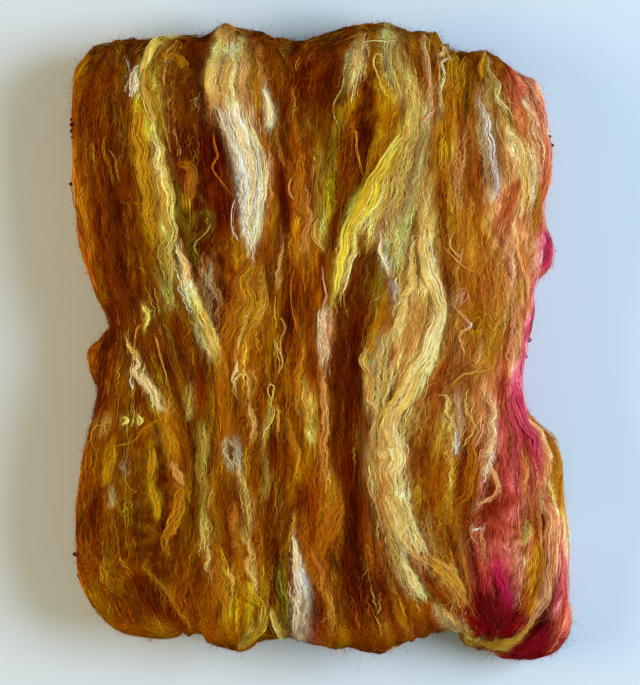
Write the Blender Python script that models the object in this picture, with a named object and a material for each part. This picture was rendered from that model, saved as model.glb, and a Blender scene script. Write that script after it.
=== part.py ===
"""A spinner's batt of silk and wool, folded once and lying flat: one closed solid.

The fleece is a thick mat. Its lower layer lies on the surface from the free end to the fold,
turns over at the fold, and comes back as the upper layer, a small gap above the lower one.
Each layer is a patch stretched between its four edges, and the fold joins the two patches.
"""
import math
from collections import namedtuple

import bpy
import bmesh

MM = 0.001

# Driving dimensions, in millimetres.
LOWER_THICK = 23.0
UPPER_THICK = 24.0
LAYER_GAP = 1.0
FOLD_LOOP = 2.5        # how much wider than the gap the fold's inner loop is
SIDE_ROUND = 10.0      # how far in from a side the layer is rounded off
UNDER_ROUND = 5.0      # the same for the underside, which the surface flattens
END_ROUND = 9.0        # how far in from the free end the layer is rounded off
END_THICK_SHARE = 0.72  # how thick the upper layer still is at its free end
END_THIN_SHARE = 0.30  # the share of the upper layer's length over which it thins
LIP_HEIGHT = 9.0       # the lower layer's edge turned up beside the upper layer
LIP_WIDTH = 9.5
MEAN_WIDTH = 200.0
MEAN_LENGTH = 228.0

# How finely the surface is divided.
SIDE_STEPS = 4
CROSS_STEPS = 22
END_STEPS = 4
LENGTH_STEPS = 25
FOLD_STEPS = 9
EDGE_SAMPLES = 12

Point = namedtuple("Point", "x y")
LipPoint = namedtuple("LipPoint", "x y lip")
Swell = namedtuple("Swell", "x0 y0 x1 y1 half_width height")

# The middle of the turn at the fold, from left to right.
FOLD_LINE = [Point(*row) for row in (
    (-104, 104), (-90, 103), (-72, 105), (-59, 106), (-46, 104), (-32, 107), (-9, 103),
    (4, 107), (16, 109), (33, 109), (42, 106), (50, 103), (58, 99), (71, 98), (84, 91), (96, 90))]

# The sides run from the free end to the fold.
UPPER_LEFT = [Point(*row) for row in (
    (-92, -115), (-98, -107), (-102, -98), (-103, -86), (-102, -66), (-99, -50), (-95, -33),
    (-92, -20), (-90, -8), (-88, 3), (-91, 11), (-97, 22), (-102, 46), (-103, 80), (-104, 104))]
UPPER_RIGHT = [Point(*row) for row in (
    (83, -121), (88, -113), (92, -102), (94, -88), (94, -75), (91, -67), (94, -55), (93, -45),
    (87, -36), (85, -20), (86, -8), (89, 12), (91, 24), (96, 31), (97, 40), (94, 55), (97, 66),
    (98, 80), (96, 90))]
LOWER_LEFT = [Point(*row) for row in (
    (-90, -112), (-97, -104), (-101, -90), (-99, -62), (-95, -38), (-93, -22), (-97, -14),
    (-99, -8), (-97, -2), (-92, 3), (-90, 12), (-95, 24), (-100, 47), (-102, 80), (-104, 104))]
LOWER_RIGHT = [LipPoint(*row) for row in (
    (103, -127, 0.9), (105.5, -117, 1), (106, -105, 1), (105, -90, 1), (104, -78, 0.9),
    (103, -69, 0.9), (102, -59, 0.7), (102, -51, 0.6), (98, -41, 0.3), (89, -31, 0),
    (84, -18, 0), (86, 10, 0), (89, 24, 0), (93, 38, 0), (93, 60, 0), (96, 90, 0))]

# The free ends run from left to right.
UPPER_END = [Point(*row) for row in (
    (-92, -115), (-84, -121), (-66, -124), (-53, -122), (-38, -130), (-30, -131), (-17, -125),
    (-9, -125), (0, -129), (20, -131), (30, -130), (39, -125), (56, -124), (70, -125), (83, -121))]
LOWER_END = [LipPoint(*row) for row in (
    (-90, -112, 0), (-78, -117, 0), (-50, -119, 0), (-30, -123, 0), (-17, -120, 0), (0, -123, 0),
    (20, -125, 0), (40, -121, 0), (52, -122, 0), (62, -128, 0.3), (72, -132, 0.6),
    (84, -134, 0.8), (95, -132, 0.9), (103, -127, 0.9))]

# What stands above the upper layer's level, and the furrows between, which have a negative height.
SWELLS = [Swell(*row) for row in (
    (-90, 90, -88, -90, 15, 3.0),
    (-77, 112, -46, -10, 7, -2.5),
    (-52, 85, -44, 15, 7, -3.0),
    (-35, 105, -26, -30, 9, 2.5),
    (-18, 112, -10, -120, 8, -3.5),
    (5, 60, 6, -90, 8, 2.0),
    (18, 80, 12, 20, 6, -2.5),
    (47, 45, 32, -95, 12, 3.5),
    (54, 112, 60, -60, 9, -3.0),
    (62, -70, 57, -122, 9, -3.5),
    (80, -64, 77, -106, 17, 4.0),
    (90, 80, 90, 20, 10, 2.5),
    (-36, -90, -32, -122, 12, 3.0))]


def smooth_step(value):
    """0 below 0, 1 above 1, with a soft start and end."""
    t = min(1.0, max(0.0, value))
    return t * t * (3.0 - 2.0 * t)


class Edge:
    """A smooth curve through the rows of a table, read by its share of the whole length."""

    def __init__(self, rows):
        self.samples = []
        for i in range(len(rows) - 1):
            before, after = rows[max(0, i - 1)], rows[min(len(rows) - 1, i + 2)]
            for k in range(EDGE_SAMPLES):
                self.samples.append(self.between(before, rows[i], rows[i + 1], after, k / EDGE_SAMPLES))
        self.samples.append(tuple(rows[-1]))
        self.lengths = [0.0]
        for a, b in zip(self.samples, self.samples[1:]):
            self.lengths.append(self.lengths[-1] + math.hypot(b[0] - a[0], b[1] - a[1]))

    @staticmethod
    def between(p0, p1, p2, p3, t):
        """A Catmull-Rom curve from p1 to p2."""
        return tuple(
            0.5 * (2 * b + (c - a) * t + (2 * a - 5 * b + 4 * c - d) * t ** 2
                   + (3 * b - a - 3 * c + d) * t ** 3)
            for a, b, c, d in zip(p0, p1, p2, p3))

    def at(self, share):
        wanted = share * self.lengths[-1]
        i = 0
        while i < len(self.lengths) - 2 and self.lengths[i + 1] < wanted:
            i += 1
        t = (wanted - self.lengths[i]) / (self.lengths[i + 1] - self.lengths[i])
        return [a + (b - a) * t for a, b in zip(self.samples[i], self.samples[i + 1])]


class Layer:
    """A patch stretched between a left side, a right side, a free end and the fold."""

    def __init__(self, left, right, end):
        self.left, self.right, self.end, self.fold = Edge(left), Edge(right), Edge(end), Edge(FOLD_LINE)

    def plan(self, u, v):
        """Where the point lies at u across, from left to right, and v along, from end to fold."""
        left, right = self.left.at(v), self.right.at(v)
        end, fold = self.end.at(u), self.fold.at(u)
        corners = (self.end.at(0), self.end.at(1), self.fold.at(0), self.fold.at(1))
        return [
            (1 - u) * left[k] + u * right[k] + (1 - v) * end[k] + v * fold[k]
            - (1 - u) * (1 - v) * corners[0][k] - u * (1 - v) * corners[1][k]
            - (1 - u) * v * corners[2][k] - u * v * corners[3][k]
            for k in (0, 1)]

    def lip(self, u, v):
        """How far the edge is turned up here, as a share of the whole lip."""
        side = self.right.at(v)[2] * smooth_step((LIP_WIDTH - (1 - u) * MEAN_WIDTH) / 3.5)
        end = self.end.at(u)[2] * smooth_step((LIP_WIDTH - v * MEAN_LENGTH) / 3.5)
        return max(side, end)


def swell_at(x, y):
    """The height of all the swells and furrows at one place on the upper layer."""
    total = 0.0
    for s in SWELLS:
        dx, dy = s.x1 - s.x0, s.y1 - s.y0
        t = min(1.0, max(0.0, ((x - s.x0) * dx + (y - s.y0) * dy) / (dx * dx + dy * dy)))
        away = math.hypot(x - s.x0 - t * dx, y - s.y0 - t * dy)
        total += s.height * math.exp(-(away / s.half_width) ** 2)
    return total


def rounding(distance, reach):
    """A quarter ellipse: 0 at the edge, 1 from reach inwards."""
    inward = min(1.0, max(0.0, distance / reach))
    return math.sqrt(1.0 - (1.0 - inward) ** 2)


def across_shares():
    """u for each column, close together where the sides are rounded."""
    side = SIDE_ROUND / MEAN_WIDTH
    rounded = [side * (1 - math.cos(math.pi / 2 * k / SIDE_STEPS)) for k in range(SIDE_STEPS)]
    middle = [side + (1 - 2 * side) * k / CROSS_STEPS for k in range(CROSS_STEPS + 1)]
    return rounded + middle + [1 - u for u in reversed(rounded)]


def along_shares():
    """v for each row of a layer, from its free end to the fold."""
    end = END_ROUND / MEAN_LENGTH
    rounded = [end * (1 - math.cos(math.pi / 2 * (k + 0.3) / END_STEPS)) for k in range(END_STEPS)]
    return rounded + [end + (1 - end) * k / LENGTH_STEPS for k in range(LENGTH_STEPS + 1)]


def ring(layer, upper, v, turn):
    """One closed section of the mat. turn goes from 0, on the surface, to pi, on top."""
    centre_z = LOWER_THICK + LAYER_GAP / 2
    blend = smooth_step(turn / math.pi)
    thick = LOWER_THICK + (UPPER_THICK - LOWER_THICK) * blend
    if upper:
        thick *= END_THICK_SHARE + (1 - END_THICK_SHARE) * smooth_step(v / END_THIN_SHARE)
    loop = LAYER_GAP / 2 + FOLD_LOOP * math.sin(turn)
    inner, outer = [], []
    for u in across_shares():
        x, y = layer.plan(u, v)
        side = min(u, 1 - u) * MEAN_WIDTH
        end = rounding(v * MEAN_LENGTH, END_ROUND)
        soft = rounding(side, SIDE_ROUND) * end
        firm = rounding(side, UNDER_ROUND + (SIDE_ROUND - UNDER_ROUND) * blend) * end
        near = loop + thick / 2 * (1 - soft)
        if not upper and turn == 0:
            near -= LIP_HEIGHT * layer.lip(u, v) * soft
        far = LAYER_GAP / 2 + thick / 2 + (thick / 2 + swell_at(x, y) * blend) * firm
        for row, reach in ((inner, near), (outer, far)):
            row.append((x * MM, (y + reach * math.sin(turn)) * MM,
                        (centre_z - reach * math.cos(turn)) * MM))
    return inner + outer[-2:0:-1]


def sections():
    """Every section of the mat, from the lower free end over the fold to the upper one."""
    lower = Layer(LOWER_LEFT, LOWER_RIGHT, LOWER_END)
    upper = Layer(UPPER_LEFT, UPPER_RIGHT, UPPER_END)
    rings = [ring(lower, False, v, 0.0) for v in along_shares()]
    rings += [ring(upper, False, 1.0, math.pi * k / FOLD_STEPS) for k in range(1, FOLD_STEPS)]
    rings += [ring(upper, True, v, math.pi) for v in reversed(along_shares())]
    return rings


def cap(mesh, loop, columns):
    """Closes a free end with a strip between the section's inner and outer edge."""
    around = len(loop)
    for i in range(columns - 1):
        corners = [loop[i], loop[i + 1], loop[around - i - 1], loop[(around - i) % around]]
        kept = list(dict.fromkeys(corners))
        mesh.faces.new(kept)


def material(name, colour, roughness):
    made = bpy.data.materials.new(name)
    made.use_nodes = True
    shader = made.node_tree.nodes["Principled BSDF"]
    shader.inputs["Base Color"].default_value = (*colour, 1.0)
    shader.inputs["Roughness"].default_value = roughness
    shader.inputs["Metallic"].default_value = 0.0
    return made


def fold_batt():
    """The whole mat as one closed surface, centred over its own box with its base at 0."""
    mesh = bmesh.new()
    loops = [[mesh.verts.new(p) for p in points] for points in sections()]
    for a, b in zip(loops, loops[1:]):
        for i in range(len(a)):
            j = (i + 1) % len(a)
            mesh.faces.new((a[i], a[j], b[j], b[i]))
    columns = len(across_shares())
    cap(mesh, loops[0], columns)
    cap(mesh, loops[-1], columns)
    bmesh.ops.recalc_face_normals(mesh, faces=mesh.faces[:])
    xs = [v.co.x for v in mesh.verts]
    ys = [v.co.y for v in mesh.verts]
    middle_x, middle_y = (min(xs) + max(xs)) / 2, (min(ys) + max(ys)) / 2
    for vert in mesh.verts:
        vert.co.x -= middle_x
        vert.co.y -= middle_y
    data = bpy.data.meshes.new("batt")
    mesh.to_mesh(data)
    mesh.free()
    data.shade_smooth()
    batt = bpy.data.objects.new("batt", data)
    bpy.context.scene.collection.objects.link(batt)
    data.materials.append(material("fleece", (0.42, 0.19, 0.05), 0.75))
    return batt


for old in list(bpy.data.objects):
    bpy.data.objects.remove(old)
fold_batt()
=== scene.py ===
import math

import bpy
import numpy as np
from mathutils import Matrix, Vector, noise
from mathutils.bvhtree import BVHTree


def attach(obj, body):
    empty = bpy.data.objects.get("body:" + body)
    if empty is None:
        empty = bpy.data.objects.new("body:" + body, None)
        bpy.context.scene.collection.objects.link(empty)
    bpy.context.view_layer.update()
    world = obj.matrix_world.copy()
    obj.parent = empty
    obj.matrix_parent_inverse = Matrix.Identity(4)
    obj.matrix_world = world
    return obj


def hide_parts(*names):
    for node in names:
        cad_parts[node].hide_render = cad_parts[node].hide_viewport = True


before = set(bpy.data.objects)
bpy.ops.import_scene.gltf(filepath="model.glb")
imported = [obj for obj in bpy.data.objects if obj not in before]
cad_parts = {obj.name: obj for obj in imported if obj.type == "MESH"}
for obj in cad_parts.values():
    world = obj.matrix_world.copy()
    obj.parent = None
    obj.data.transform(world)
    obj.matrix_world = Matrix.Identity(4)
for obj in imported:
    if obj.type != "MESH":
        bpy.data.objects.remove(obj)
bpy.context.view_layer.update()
MM = 0.001


# ---- The table, the light and the camera ---------------------------------------------------
# The batt lies on a plain pale table. Daylight falls softly from the right, and a weak warm light
# fills in low from the left. The camera looks straight down.

def linear(red, green, blue):
    """A colour given as screen values from 0 to 255, as the light values a shader takes."""
    found = []
    for value in (red, green, blue):
        v = value / 255
        found.append(v / 12.92 if v <= 0.04045 else ((v + 0.055) / 1.055) ** 2.4)
    return tuple(found)


def principled(name, colour, roughness):
    """A new material with a Principled shader, and that shader."""
    made = bpy.data.materials.new(name)
    made.use_nodes = True
    shader = made.node_tree.nodes["Principled BSDF"]
    shader.inputs["Base Color"].default_value = (*colour, 1)
    shader.inputs["Roughness"].default_value = roughness
    return made, shader


bpy.ops.object.select_all(action="DESELECT")
bpy.ops.mesh.primitive_plane_add(size=6)
table = bpy.context.object
table.name = "table_top"
table.data.materials.append(principled("table", linear(193, 210, 222), roughness=0.6)[0])


def soft_light(name, place, size, watts, colour):
    """A square soft light aimed at the batt."""
    bpy.ops.object.light_add(type="AREA", location=place)
    lamp = bpy.context.object
    lamp.name = name
    lamp.data.size = size
    lamp.data.energy = watts
    lamp.data.color = colour
    lamp.rotation_euler = (-Vector(place)).to_track_quat("-Z", "Y").to_euler()


soft_light("window", (1.0, 0.08, 0.95), size=0.8, watts=24.6, colour=(0.78, 0.85, 1.0))
soft_light("room", (-0.75, -0.05, 0.5), size=0.6, watts=7.3, colour=(1.0, 0.64, 0.3))

world = bpy.data.worlds.new("sky")
world.use_nodes = True
sky = world.node_tree.nodes["Background"]
sky.inputs["Color"].default_value = (0.68, 1.0, 0.95, 1)
sky.inputs["Strength"].default_value = 0.246
bpy.context.scene.world = world
bpy.context.scene.view_settings.view_transform = "Standard"

CAMERA_HEIGHT = 1.2
SHOWN_HEIGHT = 0.2877     # what the camera sees from top to bottom, at the level of the upper side
TOP_LEVEL = 0.042
AIM = (-0.0014, 0.0002)
SENSOR = 24
bpy.ops.object.camera_add(location=(*AIM, CAMERA_HEIGHT), rotation=(0, 0, 0))
camera = bpy.context.object
camera.data.sensor_fit = "VERTICAL"
camera.data.sensor_height = SENSOR
camera.data.lens = SENSOR * (CAMERA_HEIGHT - TOP_LEVEL) / SHOWN_HEIGHT
bpy.context.scene.camera = camera


# ---- The fleece mat -------------------------------------------------------------------------
# One thick mat of carded wool, folded once. It is the body under the strands: soft lobes and
# furrows that run the way the carder combed it, darker where the light doesn't reach.

VOXEL = 1.9 * MM
CORE_PLACE = (-2 * MM, -6 * MM, 23.5 * MM)
CORE_SIZE = (0.158, 0.206, 0.006)
cad_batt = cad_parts["batt"]
mat = bpy.data.objects.new("fleece_mat", cad_batt.data.copy())
mat.data.transform(cad_batt.matrix_world)
bpy.context.scene.collection.objects.link(mat)
mat.data.materials.clear()

# A core that fills the gap between the layers, where nothing is seen, and stops short of the edges.
bpy.ops.object.select_all(action="DESELECT")
bpy.ops.mesh.primitive_cube_add(size=1, location=CORE_PLACE, scale=CORE_SIZE)
bpy.ops.object.transform_apply(location=True, rotation=True, scale=True)
mat.select_set(True)
bpy.context.view_layer.objects.active = mat
bpy.ops.object.mode_set(mode="EDIT")
bpy.ops.mesh.select_all(action="SELECT")
bpy.ops.mesh.remove_doubles(threshold=0.00001)
bpy.ops.object.mode_set(mode="OBJECT")
bpy.ops.object.join()
remesh = mat.modifiers.new("even", "REMESH")
remesh.mode = "VOXEL"
remesh.voxel_size = VOXEL
bpy.ops.object.modifier_apply(modifier=remesh.name)
relax = mat.modifiers.new("relax", "SMOOTH")
relax.factor = 0.5
relax.iterations = 6
bpy.ops.object.modifier_apply(modifier=relax.name)

# The way the fibres were combed, as routes over the top (millimetres).
COMBING = (
    ((-100, 126), (-104, 90), (-102, 50), (-95, 25), (-88, 5), (-91, -25), (-100, -60), (-101, -90),
     (-95, -110), (-82, -121)),
    ((-90, 124), (-91, 84), (-87, 45), (-84, 10), (-70, -22), (-62, -45), (-60, -80), (-64, -112)),
    ((-64, 130), (-75, 117), (-77, 85), (-71, 55), (-60, 30), (-46, 2), (-42, -30), (-46, -60)),
    ((-56, 126), (-58, 95), (-54, 60), (-52, 30), (-46, 5)),
    ((-84, -5), (-88, -35), (-90, -60), (-90, -90), (-82, -110), (-68, -121)),
    ((-41, 131), (-43, 100), (-33, 72), (-29, 40), (-33, 10), (-38, -20), (-38, -50), (-32, -80),
     (-36, -124)),
    ((-24, 131), (-26, 100), (-23, 62), (-22, 30), (-20, 0), (-19, -40), (-22, -80), (-22, -112)),
    ((-8, 131), (-13, 90), (-9, 60), (-10, 20), (-12, -20), (-10, -60), (-12, -90), (-8, -126)),
    ((15, 129), (9, 106), (4, 76), (0, 40), (-1, 10), (0, -40), (2, -80), (4, -126)),
    ((31, 128), (33, 98), (25, 73), (13, 47), (7, 20), (8, -20), (10, -60), (13, -95), (24, -124)),
    ((44, 129), (44, 96), (37, 72), (29, 48), (25, 20), (19, -10), (18, -45), (20, -80), (32, -116)),
    ((46, 44), (45, 28), (48, 17), (43, -2), (32, -25), (28, -40), (30, -55), (29, -70), (37, -88),
     (50, -98), (58, -108)),
    ((58, 127), (57, 90), (56, 50), (58, 15), (56, -25), (52, -60), (58, -92), (62, -116)),
    ((70, 124), (76, 95), (84, 74), (83, 56), (79, 38), (77, 15), (75, -10), (73, -40), (66, -66),
     (63, -84), (68, -116)),
    ((90, 118), (99, 92), (99, 62), (96, 42), (88, 20), (84, -12), (87, -40), (95, -70), (95, -95),
     (89, -113), (76, -127)),
    ((101, -50), (104, -80), (104, -105), (98, -122), (86, -131)))

GRID = 3.0
GRID_X = np.arange(-120, 121, GRID)
GRID_Y = np.arange(-150, 151, GRID)


def unit(vectors):
    """The same vectors, each of length one."""
    return vectors / np.maximum(np.linalg.norm(vectors, axis=-1, keepdims=True), 1e-9)


def smooth_route(points, count):
    """A smooth curve through the points, at count places an equal distance apart."""
    rows = np.array(points, float)
    padded = np.vstack([2 * rows[0] - rows[1], rows, 2 * rows[-1] - rows[-2]])
    t = np.linspace(0, 1, 24, endpoint=False)[:, None]
    parts = []
    for a, b, c, d in zip(padded, padded[1:], padded[2:], padded[3:]):
        parts.append(0.5 * (2 * b + (c - a) * t + (2 * a - 5 * b + 4 * c - d) * t ** 2
                            + (3 * b - a - 3 * c + d) * t ** 3))
    curve = np.vstack(parts + [rows[-1:]])
    run = np.concatenate([[0], np.cumsum(np.linalg.norm(np.diff(curve, axis=0), axis=1))])
    wanted = np.linspace(0, run[-1], count)
    return np.column_stack([np.interp(wanted, run, curve[:, k]) for k in range(rows.shape[1])])


def on_grid(grid, x, y, spacing=GRID):
    """The value, or the row of values, of a grid over the mat at places in millimetres."""
    i = np.clip((x - GRID_X[0]) / spacing, 0, grid.shape[1] - 1.001)
    j = np.clip((y - GRID_Y[0]) / spacing, 0, grid.shape[0] - 1.001)
    a, b = i.astype(int), j.astype(int)
    p, q = i - a, j - b
    if grid.ndim == 3:
        p, q = p[:, None], q[:, None]
    low = grid[b, a] * (1 - p) + grid[b, a + 1] * p
    high = grid[b + 1, a] * (1 - p) + grid[b + 1, a + 1] * p
    return low * (1 - q) + high * q


COMBED_REACH = 9.0
across_sum = np.zeros((len(GRID_Y), len(GRID_X)))
along_sum = np.full((len(GRID_Y), len(GRID_X)), 1e-4)
for route in COMBING:
    line = smooth_route(route, count=70)
    ahead = unit(np.gradient(line, axis=0))
    for (x, y), (ahead_x, ahead_y) in zip(line, ahead):
        near = np.exp(-((GRID_X[None, :] - x) ** 2 + (GRID_Y[:, None] - y) ** 2) / COMBED_REACH ** 2)
        across_sum += near * ahead_x * np.sign(ahead_y)
        along_sum += near * abs(ahead_y)
LEAN = np.clip(across_sum / along_sum, -0.9, 0.9)

# Where the fibre through each place crosses the middle of the mat: the same along each fibre.
carried = np.empty((len(GRID_Y), len(GRID_X)))
middle_row = len(GRID_Y) // 2
for way, last in ((1, len(GRID_Y) - 1), (-1, 0)):
    x = GRID_X.astype(float)
    carried[middle_row] = x
    for row in range(middle_row, last, way):
        x = x + way * GRID * on_grid(LEAN, x, np.full(len(x), GRID_Y[row]))
        carried[row + way] = np.interp(GRID_X, x, GRID_X)


def of_each_vertex(mesh, name):
    """A vector of every vertex: its place for "co", the way it faces for "normal"."""
    found = np.empty(len(mesh.vertices) * 3, np.float32)
    mesh.vertices.foreach_get(name, found)
    return found.reshape(-1, 3).astype(float)


def combed_noise(u, y, z, fine, long, deep, seed):
    """Noise drawn out along the fibres: fine across, long along and deep between layers, in mm."""
    return np.array([noise.noise(Vector((a / fine, b / long, c / deep + seed)))
                     for a, b, c in zip(u, y, z)])


def nearness(x, y, route, half_width):
    """How near each place in millimetres is to a route: 1 on it, and 0 far from it."""
    gap = np.full(len(x), 1e9)
    for line_x, line_y in smooth_route(route, count=40):
        gap = np.minimum(gap, (x - line_x) ** 2 + (y - line_y) ** 2)
    return np.exp(-gap / half_width ** 2)


# Furrows where two licks part, and ridges where a lock lies: half width, height and route.
RELIEF = (
    (5.0, -1.5, ((-54, 84), (-52, 66), (-47, 50))),
    (5.5, -2.8, ((6, 18), (9, -10), (10, -45), (12, -78), (15, -100), (22, -114))),
    (1.8, -2.5, ((-89, 4), (-92, -8), (-93, -22), (-95, -31))),
    (2.2, -1.5, ((-69, -44), (-68, -56), (-66, -66), (-67, -78))),
    (2.0, -3.0, ((-21, -84), (-20, -103), (-22, -111), (-21, -130))),
    (2.0, -1.2, ((49, 64), (51, 44), (53, 20), (54, -4))),
    (2.4, -1.6, ((22, 104), (20, 89), (17, 70))),
    (1.8, -1.2, ((-18, 70), (-17, 45), (-15, 20), (-17, -6))),
    (3.0, -1.3, ((-39, 99), (-39, 94))),
    (1.6, -1.4, ((74, -16), (73, -31), (72, -42), (75, -56), (67, -66), (61, -73), (62, -84), (64, -102),
     (67, -117))),
    (1.8, -1.0, ((-84, 60), (-86, 30), (-85, 10))),
    (2.0, -1.0, ((88, 108), (94, 84), (93, 58))),
    (1.5, -1.2, ((92, -56), (91.6, -70), (92, -92), (87, -106), (79, -117))),
    (3.0, 2.6, ((95, -52), (96, -64), (97.6, -78), (97.4, -92), (94, -104), (88, -114))),
    (3.0, -1.4, ((41, -86), (46, -100), (52, -112))),
    (6.0, 1.4, ((44, 44), (45, 28), (48, 17), (44, -2), (33, -25), (28, -40), (30, -60), (30, -75))),
    (4.5, 1.2, ((-73, 110), (-74, 85), (-68, 55), (-59, 30), (-47, 2))),
    (5.0, 1.2, ((-41, 126), (-41, 104), (-32, 76), (-29, 45))),
    (3.0, 1.0, ((34, 96), (25, 73), (12, 45), (6, 20))),
    (9.0, 2.0, ((77, -72), (78, -86), (77, -100))),
    (2.2, 1.0, ((1, 12), (0, -20), (0, -55))))

# Where the outline of the fleece swells out or draws in: middle, reach and how far, in mm.
OUTLINE = (
    (-99, 122, 9, -5.4), (-106, 92, 30, 3.0), (-98, 25, 10, -1.2), (-98, -5, 9, 2.5), (-96, -24, 12, 1.0),
    (-103, -66, 35, 0.7), (-96, -106, 12, 0.2), (-84, -120, 10, 1.6), (-66, -123, 14, 1.2),
    (-48, -125, 8, 1.5), (-27, -127, 8, -1.8), (-10, -126, 8, 1.2), (27, -129, 8, 1.5),
    (36, -125, 5, -1.4), (45, -123, 6, 1.0), (54, -121, 5, -4.0), (74, -129, 14, 1.5),
    (100, -127, 14, 3.8), (105, -104, 14, -1.6), (100, -51, 10, 1.0), (87, -30, 7, 0.8),
    (83, -13, 6, -1.3), (90, 24, 6, -2.2), (95, 43, 6, 0.2), (95, 58, 8, -1.8), (97, 78, 14, -0.2),
    (92, 106, 9, -3.0), (85, 114, 7, -3.0), (71, 121, 12, 2.2), (49, 127, 8, 2.5), (20, 132, 22, 1.8),
    (-16, 127, 14, 1.8), (-41, 131, 6, 5.6), (-66, 128, 20, 0.6), (-16, 128, 8, 1.0))

ALL_ROUND = 0.2     # how far it swells everywhere
FOOT = 4            # below this height it swells less and less
FLAT_BELOW = 1      # up to this height there is no relief
FULL_ABOVE = 6      # and from this height on there is all of it
UPPER_LAYER = 12    # the hand-laid relief lies above this height
places, outward = of_each_vertex(mat.data, "co"), of_each_vertex(mat.data, "normal")
mm_x, mm_y, mm_z = (places / MM).T
swell = np.full(len(places), ALL_ROUND)
for x, y, reach, out in OUTLINE:
    swell += out * np.exp(-((mm_x - x) ** 2 + (mm_y - y) ** 2) / reach ** 2)
places[:, :2] += outward[:, :2] * (swell * np.clip(mm_z / FOOT, 0, 1) * MM)[:, None]
strand_u = on_grid(carried, mm_x, mm_y)
relief = (2.6 * combed_noise(strand_u, mm_y, mm_z, fine=9, long=60, deep=12, seed=3)
          + 2.0 * combed_noise(strand_u, mm_y, mm_z, fine=3.6, long=26, deep=5, seed=11))
hand_relief = np.zeros(len(places))
for half_width, height, route in RELIEF:
    hand_relief += height * nearness(mm_x, mm_y, route, half_width)
hand_relief *= np.clip(outward[:, 2] * 1.5, 0, 1) * (mm_z > UPPER_LAYER)
base = np.clip((mm_z - FLAT_BELOW) / (FULL_ABOVE - FLAT_BELOW), 0, 1)
places += outward * ((relief + hand_relief) * base * MM)[:, None]
mat.data.vertices.foreach_set("co", places.astype(np.float32).ravel())
mat.data.update()
mat.data.shade_smooth()
skin = BVHTree.FromObject(mat, bpy.context.evaluated_depsgraph_get())

# The dyes of the whole batt, as screen colours, about from the darkest to the brightest.
DYES = {
    "umber": (88, 28, 0), "oxblood": (88, 9, 0), "crimson": (136, 4, 20), "rust": (150, 70, 2),
    "moss": (124, 98, 0), "amber": (186, 110, 4), "mustard": (184, 134, 0), "olive": (160, 136, 30),
    "orange": (206, 114, 14), "ochre": (210, 126, 26), "gold": (214, 152, 16), "magenta": (212, 34, 86),
    "rose": (226, 84, 98), "coral": (224, 98, 64), "grey": (178, 158, 112), "tan": (226, 162, 82),
    "peach": (238, 164, 112), "lilac": (204, 186, 188), "straw": (232, 196, 96),
    "apricot": (250, 172, 108), "yellow": (242, 214, 20), "butter": (246, 226, 102),
    "cream": (250, 228, 156), "silver": (236, 232, 214), "white": (252, 248, 226)}

FINE = 1.0
FINE_X, FINE_Y = np.arange(-120, 120.1, FINE), np.arange(-150, 150.1, FINE)
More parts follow.
